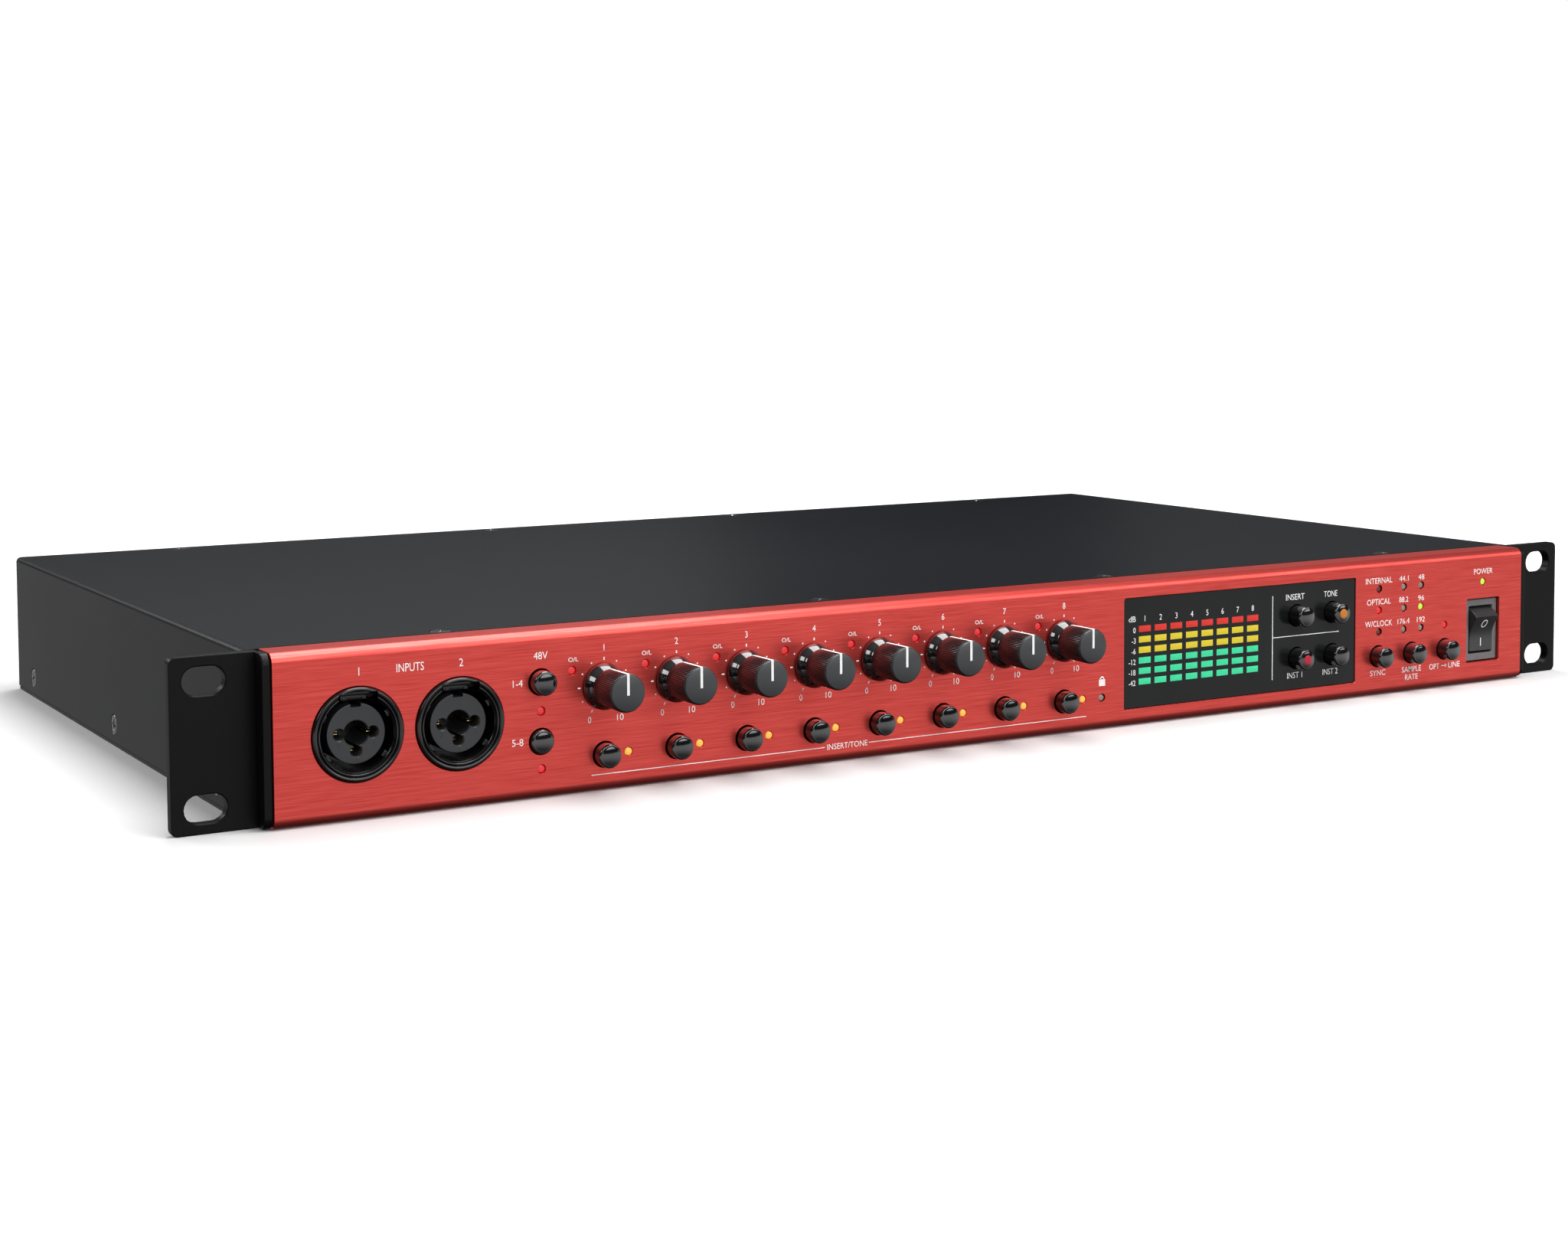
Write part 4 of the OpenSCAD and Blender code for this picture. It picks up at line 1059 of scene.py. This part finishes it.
def window_lettering():
    red = solids("meter_bars_red")
    heights = sorted({round(p.z, 2) for colour in ("red", "yellow", "green")
                      for p in centres(f"meter_bars_{colour}")}, reverse=True)
    scale_x = red[0][0].x - 1.25
    marks = [words(str(i + 1), (a.x + b.x) / 2, 32.55, 1.75) for i, (a, b) in enumerate(red)]
    for z, level in zip(heights, ("0", "-3", "-6", "-12", "-18", "-42")):
        marks.append(words(level, scale_x, z - 0.3, 1.65, align="RIGHT"))
    marks.append(words("dB", scale_x, 32.6, 1.7, 2.65, align="RIGHT"))
    split_x, split_z = 107.3, 22.47
    marks.append(stroke(split_x, 9.1, split_x, 35.7, 0.28))
    marks.append(stroke(split_x, split_z, 135.3, split_z, 0.24))
    labels = (("INSERT", 34.85, 7.7), ("TONE", 34.85, 5.6), ("INST 1", 9.9, 6.3), ("INST 2", 9.8, 6.4))
    for button, (text, z, width) in zip(WINDOW_BUTTONS.values(), labels):
        marks.append(words(text, button.x - 0.7, z, 1.85, width))
    piece("window_lettering", moved(joined(marks), on_front(0, 0, -WIN_FACE)), PRINT, "window_black")


# ---------------------------------------------------------------- back

def rear_panel():
    low, high = span("rear_panel")
    openings = [(circle(RING_R + 0.1, 96), pairs(REAR_SOCKETS)), (d_outline(0.3), DSUBS),
                (rectangle(16.3, 13.5), NETWORK), (rectangle(9.9, 9.9), OPTICAL), (circle(4.95), CLOCKS),
                (rectangle(9.3, 3.6, 1.2), COMPUTER), (rectangle(27.4, 20, 1), [INLET])]
    tools = [moved(plug(outline, 3, 0.12), on_rear(*spot)) for outline, spots in openings for spot in spots]
    sheet = prism(rectangle(high.x - low.x, high.z - low.z, 0.8), -SHEET, 0, 0.15)
    sheet = carved(moved(sheet, on_rear(0, (low.z + high.z) / 2)), joined(tools))
    flanges = [block((-217, low.y, z), (217, high.y - 1, z + SHEET), 0.1) for z in (low.z, high.z - SHEET)]
    piece("rear_panel_detailed", joined([sheet] + flanges), CASE, "powder_black",
          stands_for=["rear_panel"], even=True)


def d_outline(g):
    """Outline of a D-shaped connector with rounded corners, wider at the top, grown by g."""
    return rounded([(-18 - g, -4.2 - g), (18 + g, -4.2 - g), (19.6 + g, 4.2 + g), (-19.6 - g, 4.2 + g)], 1.6)


def multi_way_parts():
    """Meshes of a 25-way connector: flanged shell, drilled insert, contacts."""
    pitch, face = 2.76, 5.3
    spots = [((i - 6 + row / 2) * pitch, 1.42 - row * 2.84) for row in (0, 1) for i in range(13 - row)]
    post_holes = [shifted(prism(circle(1.6, 24), -1, 3), side * POST_SPAN / 2, 0) for side in (-1, 1)]
    opening, bead_opening = (stacked(d_outline(-0.48), ((0, -1), (0, 3))) for _ in range(2))
    flange = carved(prism(rectangle(53, 12.5, 2.2), 0.02, 1.0, 0.25), joined([opening] + post_holes))
    bead = carved(prism(d_outline(0.5), 0.9, 1.35, 0.3), bead_opening)
    wall = stacked(d_outline(0.0), ((0, 1.0), (0, 5.6), (-0.12, 5.8), (-0.45, 5.8), (-0.5, 5.6),
                                    (-0.5, 1.0)), closed=True)
    holes = joined([shifted(plug(circle(0.55, 14), 6, 0.12), u, v, face) for u, v in spots])
    insert = carved(prism(d_outline(-0.55), -6, face, 0.2), holes)
    contact = [(0.5, -1), (0.5, 4.3), (0.42, 4.4), (0.28, 4.3), (0.28, -1)]
    contacts = joined([shifted(lathe(contact, 12, closed=True), u, v) for u, v in spots])
    return {"shell": (as_mesh(joined([flange, bead, wall]), NICKEL), "bright_steel", "dsub_shells"),
            "insert": (as_mesh(insert, INSULATOR_BLACK), "socket_black", "dsub_inserts"),
            "contacts": (as_mesh(contacts, GOLD), "contact_gold", None)}


def jack_post():
    """Threaded hexagonal post on its washer."""
    top = 5.0
    thread_hole = shifted(plug(circle(1.15, 24), 3.4, 0.25), 0, 0, top)
    post = carved(prism(circle(2.7, 6), 1.0, top, 0.25), thread_hole)
    washer = lathe([(1.7, 1.0), (2.9, 1.0), (2.9, 1.35), (1.7, 1.35)], 32, closed=True)
    threads = [lathe([(1.16, w), (1.16, w + 0.2), (1.0, w + 0.1)], 24, closed=True)
               for w in (2.2, 2.6, 3.0, 3.4, 3.8, 4.2)]
    return as_mesh(joined([post, washer] + threads), NICKEL)


def multi_way_sockets():
    parts, post = multi_way_parts(), jack_post()
    for i, (x, z) in enumerate(DSUBS):
        fit(f"multi_way_{i + 1}", parts, on_rear(x, z), i == 0)
        for side, name in ((-1, "left"), (1, "right")):
            show(f"multi_way_{i + 1}_post_{name}", post, "bright_steel",
                 place=on_rear(x + side * POST_SPAN / 2, z),
                 stands_for=["jack_posts"] if i == 0 and side < 0 else ())


def mains_inlet():
    flange_top, front = 2.0, 3.2
    body = prism(rectangle(31, 22.4, 2.5), 0, flange_top, 0.4)
    ears = prism(rectangle(49.6, 9.6, 4.0), 0, flange_top, 0.4)
    collar = prism(rectangle(29, 22.4, 2.0), 1.0, front, 0.6)
    shell = prism(rectangle(27, 19.6, 1.5), -26, 0)
    for part in (ears, collar, shell):
        body = carved(body, part, "UNION")
    corners = [(-12.3, -8.2), (12.3, -8.2), (12.3, 3.2), (7.3, 8.2), (-7.3, 8.2), (-12.3, 3.2)]
    cavity = shifted(plug(rounded(corners, 0.8), 16, 0.4), 0, 0, front)
    holes = [shifted(plug(circle(1.6), 4, 0.1), side * 20, 0, flange_top) for side in (-1, 1)]
    piece("mains_inlet_moulding", carved(body, joined([cavity] + holes)), INSULATOR_BLACK, "socket_black",
          place=on_rear(*INLET), stands_for=["mains_inlet"], even=True)
    pins = []
    for u, v, tip in ((-7, -2, -1.6), (7, -2, -1.6), (0, 2, -0.6)):
        pins.append(loft([[(u + a * x, v + b * y, w) for a, b in ((-1, -1), (1, -1), (1, 1), (-1, 1))]
                          for x, y, w in ((1, 2, -12.8), (1, 2, tip - 1.2), (0.45, 1.5, tip))]))
    piece("mains_inlet_blades", joined(pins), NICKEL, "bright_steel", place=on_rear(*INLET),
          stands_for=["inlet_pins"])


def optical_parts():
    body = prism(rectangle(9.6, 9.6, 0.6), -11, 1.2, 0.2)
    body = carved(body, shifted(plug(rectangle(7.2, 7.2, 0.9), 5, 0.3), 0, 0, 1.2))
    flap = [block((-3.5, -3.5, -0.3), (3.5, 3.2, 0.35), 0.15, 0.6),
            block((-3.3, 3.0, -0.5), (3.3, 3.5, 0.5), 0.2),
            block((-2.2, -2.9, 0.25), (2.2, -2.3, 0.6), 0.12),
            lathe([(1.5, 0.3), (2.1, 0.3), (2.1, 0.45), (1.5, 0.45)], 32, closed=True)]
    return {"frame": (as_mesh(body, INSULATOR_BLACK), "socket_black", "optical_ports"),
            "flap": (as_mesh(joined(flap), SOCKET), "socket_black", None)}


def clock_parts():
    """Meshes of a bayonet socket: nut, washer and barrel with its lugs; insulating core; pin."""
    end = 10.6
    metal = [prism(circle(6.3, 6), 0.45, 2.0, 0.25),
             lathe([(0, 0.0), (6.1, 0.0), (6.1, 0.45), (0, 0.45)], 48),
             lathe([(4.0, 2.0), (4.8, 2.0), (4.8, 4.4), (4.55, 4.6), (4.55, 5.0), (4.8, 5.2),
                    (4.8, end - 0.25), (4.6, end), (4.15, end), (4.05, end - 0.2), (4.05, 3.0),
                    (4.0, 3.0)], 64, closed=True),
             lathe([(0, 2.0), (4.05, 2.0), (4.05, 3.2), (0, 3.2)], 48)]
    for side in (-1, 1):
        lug = lathe([(0, -0.6), (1.0, -0.6), (1.0, 0.55), (0.85, 0.7), (0, 0.7)], 24)
        sideways = Matrix.Rotation(side * math.pi / 2, 4, "Y")
        metal.append(shifted(moved(lug, sideways), side * 5.0, 0, end - 4.6))
    core = lathe([(0, 3.0), (2.6, 3.0), (2.6, 7.6), (2.45, 7.75), (1.05, 7.75), (0.95, 7.6), (0.95, 5.0),
                  (0, 5.0)], 48)
    pin = lathe([(0.55, 4.5), (0.85, 4.5), (0.85, 8.9), (0.75, 9.1), (0.6, 9.1), (0.55, 8.9)], 32,
                closed=True)
    return {"shell": (as_mesh(joined(metal), NICKEL), "bright_steel", "clock_sockets"),
            "core": (as_mesh(core, SLEEVE), "wire_sleeve", None),
            "pin": (as_mesh(pin, GOLD), "contact_gold", None)}


def network_parts():
    """Meshes of a network port: sprung shield, lining, eight contacts, two lights."""
    shield = prism(rectangle(16, 13.2), -20, 0.4, 0.12)
    for outline in (rectangle(11.8, 7.4, 0.3, (0, 0.6)), rectangle(6.2, 3.2, 0.2, (0, -4.1))):
        shield = carved(shield, shifted(plug(outline, 15, 0.2), 0, 0, 0.4))
    fingers = [block((u - 0.12, -1.5, -4), (u + 0.12, 1.5, -0.4), 0.05) for u in (-5.75, 5.75)]
    lining = [block((-5.8, -2.95, -14), (-3.2, -2.6, -0.6), 0.05),
              block((3.2, -2.95, -14), (5.8, -2.6, -0.6), 0.05),
              block((-5.8, 3.5, -14), (5.8, 4.25, -1.2), 0.05)]
    wires = [shifted(block((-0.16, 2.2, -10), (0.16, 3.55, -2.2), 0.05), (k - 3.5) * 1.02, 0)
             for k in range(8)]
    lights = [block((u - 1.0, -5.6, -1), (u + 1.0, -4.4, 0.42), 0.1) for u in (-6.3, 6.3)]
    return {"shield": (as_mesh(joined([shield] + fingers), NICKEL), "bright_steel", "data_ports"),
            "lining": (as_mesh(joined(lining), INSULATOR_BLACK), "socket_black", None),
            "contacts": (as_mesh(joined(wires), GOLD), "contact_gold", None),
            "lights": (as_mesh(joined(lights), SLEEVE), "led_unlit", None)}


def computer_parts():
    """Meshes of a computer port: shell, tongue, pads on both of its sides."""
    shell = stacked(rectangle(9, 3.3, 1.5), ((0, -8), (0, 0.5), (-0.08, 0.6), (-0.28, 0.6), (-0.35, 0.5),
                                             (-0.35, -8)), closed=True)
    tongue = [block((-3.35, -0.35, -7), (3.35, 0.35, -0.4), 0.12, 0.3),
              block((-4.2, -1.4, -8.5), (4.2, 1.4, -6.8))]
    pads = [block((u - 0.14, v - 0.03, -4), (u + 0.14, v + 0.03, -0.9), 0.01)
            for u in [0.5 * k for k in range(-5, 6)] for v in (-0.37, 0.37)]
    return {"shell": (as_mesh(shell, NICKEL), "bright_steel", None),
            "tongue": (as_mesh(joined(tongue), INSULATOR_BLACK), "socket_black", None),
            "pads": (as_mesh(joined(pads), GOLD), "contact_gold", None)}


def ports():
    for prefix, parts, spots in (("optical", optical_parts(), OPTICAL),
                                 ("clock_socket", clock_parts(), CLOCKS),
                                 ("network", network_parts(), NETWORK),
                                 ("computer", computer_parts(), COMPUTER)):
        for i, spot in enumerate(spots):
            fit(f"{prefix}_{i + 1}", parts, on_rear(*spot), i == 0)


def rear_lettering():
    inputs = [s.x for s in sorted(REAR_SOCKETS, key=lambda p: p.x)]
    marks = [words(str(i + 3), -x - 11.2, 38.9, 2.2) for i, x in enumerate(inputs)]
    marks.append(words("INPUTS", -(REAR_SOCKETS[2].x + REAR_SOCKETS[3].x) / 2, 4.6, 1.9, 7.2))
    groups = ((DSUBS, ("LINE INPUTS 1-8", "LINE INPUTS 9-16", "LINE OUTPUTS 1-8"), -8.0, 1.6),
              (NETWORK, ("NETWORK 1", "NETWORK 2"), -8.3, 1.5),
              (CLOCKS, ("CLOCK IN", "CLOCK OUT"), -7.9, 1.5),
              (COMPUTER, ("COMPUTER 1", "COMPUTER 2"), -4.2, 1.4),
              (OPTICAL, ("OUT 1", "OUT 2", "IN 1", "IN 2"), -7.0, 1.4))
    for spots, names, drop, cap in groups:
        for (x, z), text in zip(spots, names):
            marks.append(words(text, -x, z + drop, cap))
    marks.append(words("OPTICAL", -(OPTICAL[0][0] + OPTICAL[1][0]) / 2, ROWS[0] + 7.2, 1.6))
    marks.append(words("MAINS", -INLET[0], INLET[1] + 13.8, 1.9))
    piece("rear_lettering", moved(joined(marks), on_rear(0, 0)), PRINT, "powder_black")


# ---------------------------------------------------------------- inside

def inside():
    """The CAD's own pieces behind the panels, which stay as they are and take a material."""
    looks = {"gain_pots": NICKEL, "push_switches": SOCKET, "control_board": BOARD, "main_board": BOARD,
             "power_board": BOARD, "internal_wiring": SLEEVE, "board_standoffs": NICKEL}
    for name, look in looks.items():
        materials = nodes[name].data.materials
        materials.clear()
        materials.append(look)


# ---------------------------------------------------------------- room, light and camera

def floor_white():
    """Pale paper that glows far from the object, so that no horizon shows."""
    pale = plain("floor_white", (0.68, 0.68, 0.68), 0.8, specular=0.0)
    tree = pale.node_tree
    away = add(tree, "VectorMath", {0: own_space(tree)}, operation="LENGTH").outputs["Value"]
    glow = remap(tree, away, 0.0, 0.95, 0.30, 1.20)
    drive(pale, {"Emission Color": (1, 1, 1, 1), "Emission Strength": glow})
    return pale


def floor():
    bm = bmesh.new()
    bmesh.ops.create_grid(bm, x_segments=1, y_segments=1, size=6)
    mesh = bpy.data.meshes.new("floor")
    bm.to_mesh(mesh)
    bm.free()
    mesh.materials.append(floor_white())
    obj = linked("floor", mesh)
    obj.visible_diffuse = False
    obj.visible_glossy = False


def sky():
    """White to the camera; for everything else a studio that is darker near the horizon and behind."""
    room = bpy.data.worlds.new("studio")
    bpy.context.scene.world = room
    room.use_nodes = True
    tree = room.node_tree
    direction = add(tree, "TexCoord", {}).outputs["Generated"]
    split = add(tree, "SeparateXYZ", {"Vector": direction}).outputs
    height = remap(tree, split["Z"], 0.0, 1.0, -1.0, 1.0)
    steps = ((0.0, 0.03), (0.25, 0.20), (0.38, 0.95), (0.48, 1.08),
             (0.51, 0.01), (0.62, 0.03), (0.80, 0.15), (1.0, 0.50))
    studio = graded(tree, height, [(position, (level,) * 3) for position, level in steps])
    front = remap(tree, split["Y"], 0.40, 1.0, 0.35, -0.35)
    dimmed = add(tree, "VectorMath", {0: studio, "Scale": front}, operation="SCALE").outputs["Vector"]
    camera_ray = add(tree, "LightPath", {}).outputs["Is Camera Ray"]
    pick = add(tree, "Mix", {"Factor": camera_ray, "A": dimmed, "B": (1, 1, 1, 1)}, data_type="RGBA")
    feed(tree, tree.nodes["Background"], {"Color": pick.outputs["Result"], "Strength": 1.0})


def lamp_panel(name, at, aim, size, power):
    light = bpy.data.lights.new(name, "AREA")
    light.shape = "RECTANGLE"
    light.size, light.size_y = size
    light.energy = power
    obj = linked(name, light)
    obj.location = at
    obj.rotation_euler = (Vector(aim) - Vector(at)).to_track_quat("-Z", "Y").to_euler()


def lights():
    lamp_panel("overhead", (0.15, 0.0, 1.0), (0, 0, 0), (1.6, 0.6), 20)
    lamp_panel("front_fill", (0.40, -1.4, 0.75), (0, -0.1, 0.02), (2.4, 0.9), 21)
    lamp_panel("rear", (-0.9, 1.0, 0.7), (0, 0.2, 0.02), (0.8, 0.5), 9)
    lamp_panel("rim", (0.10, 0.95, 0.42), (0, 0, 0.02), (0.8, 0.3), 0.27)
    lamp_panel("rim_right", (1.1, 0.9, 0.42), (0.2, 0.1, 0.04), (0.4, 0.3), 0.08)
    lamp_panel("left_fill", (-1.5, -0.1, 0.9), (-0.2, 0, 0.02), (0.5, 0.5), 5)


def camera():
    view = bpy.data.cameras.new("view")
    view.lens = 55.125
    view.sensor_width = 36
    view.shift_x = 0.00274
    view.shift_y = -0.12253
    view.clip_start = 0.01
    obj = linked("view", view)
    obj.location = (-0.4059, FACE_Y - 0.56808, 0.13435)
    obj.rotation_euler = [math.radians(a) for a in (86.4115, 0.2912, -30.4363)]
    bpy.context.scene.camera = obj


front_panel()
rack_ear(-1, "rack_ear_left")
rack_ear(1, "rack_ear_right")
for make in (top_cover, base_tray, rear_panel, case_screws, gain_knobs, buttons, lamps, meter, sockets,
             rocker, rocker_bezel, front_lettering, window_lettering, multi_way_sockets, mains_inlet,
             ports, rear_lettering, inside, floor, sky, lights, camera):
    make()
bpy.context.scene.view_settings.view_transform = "Standard"
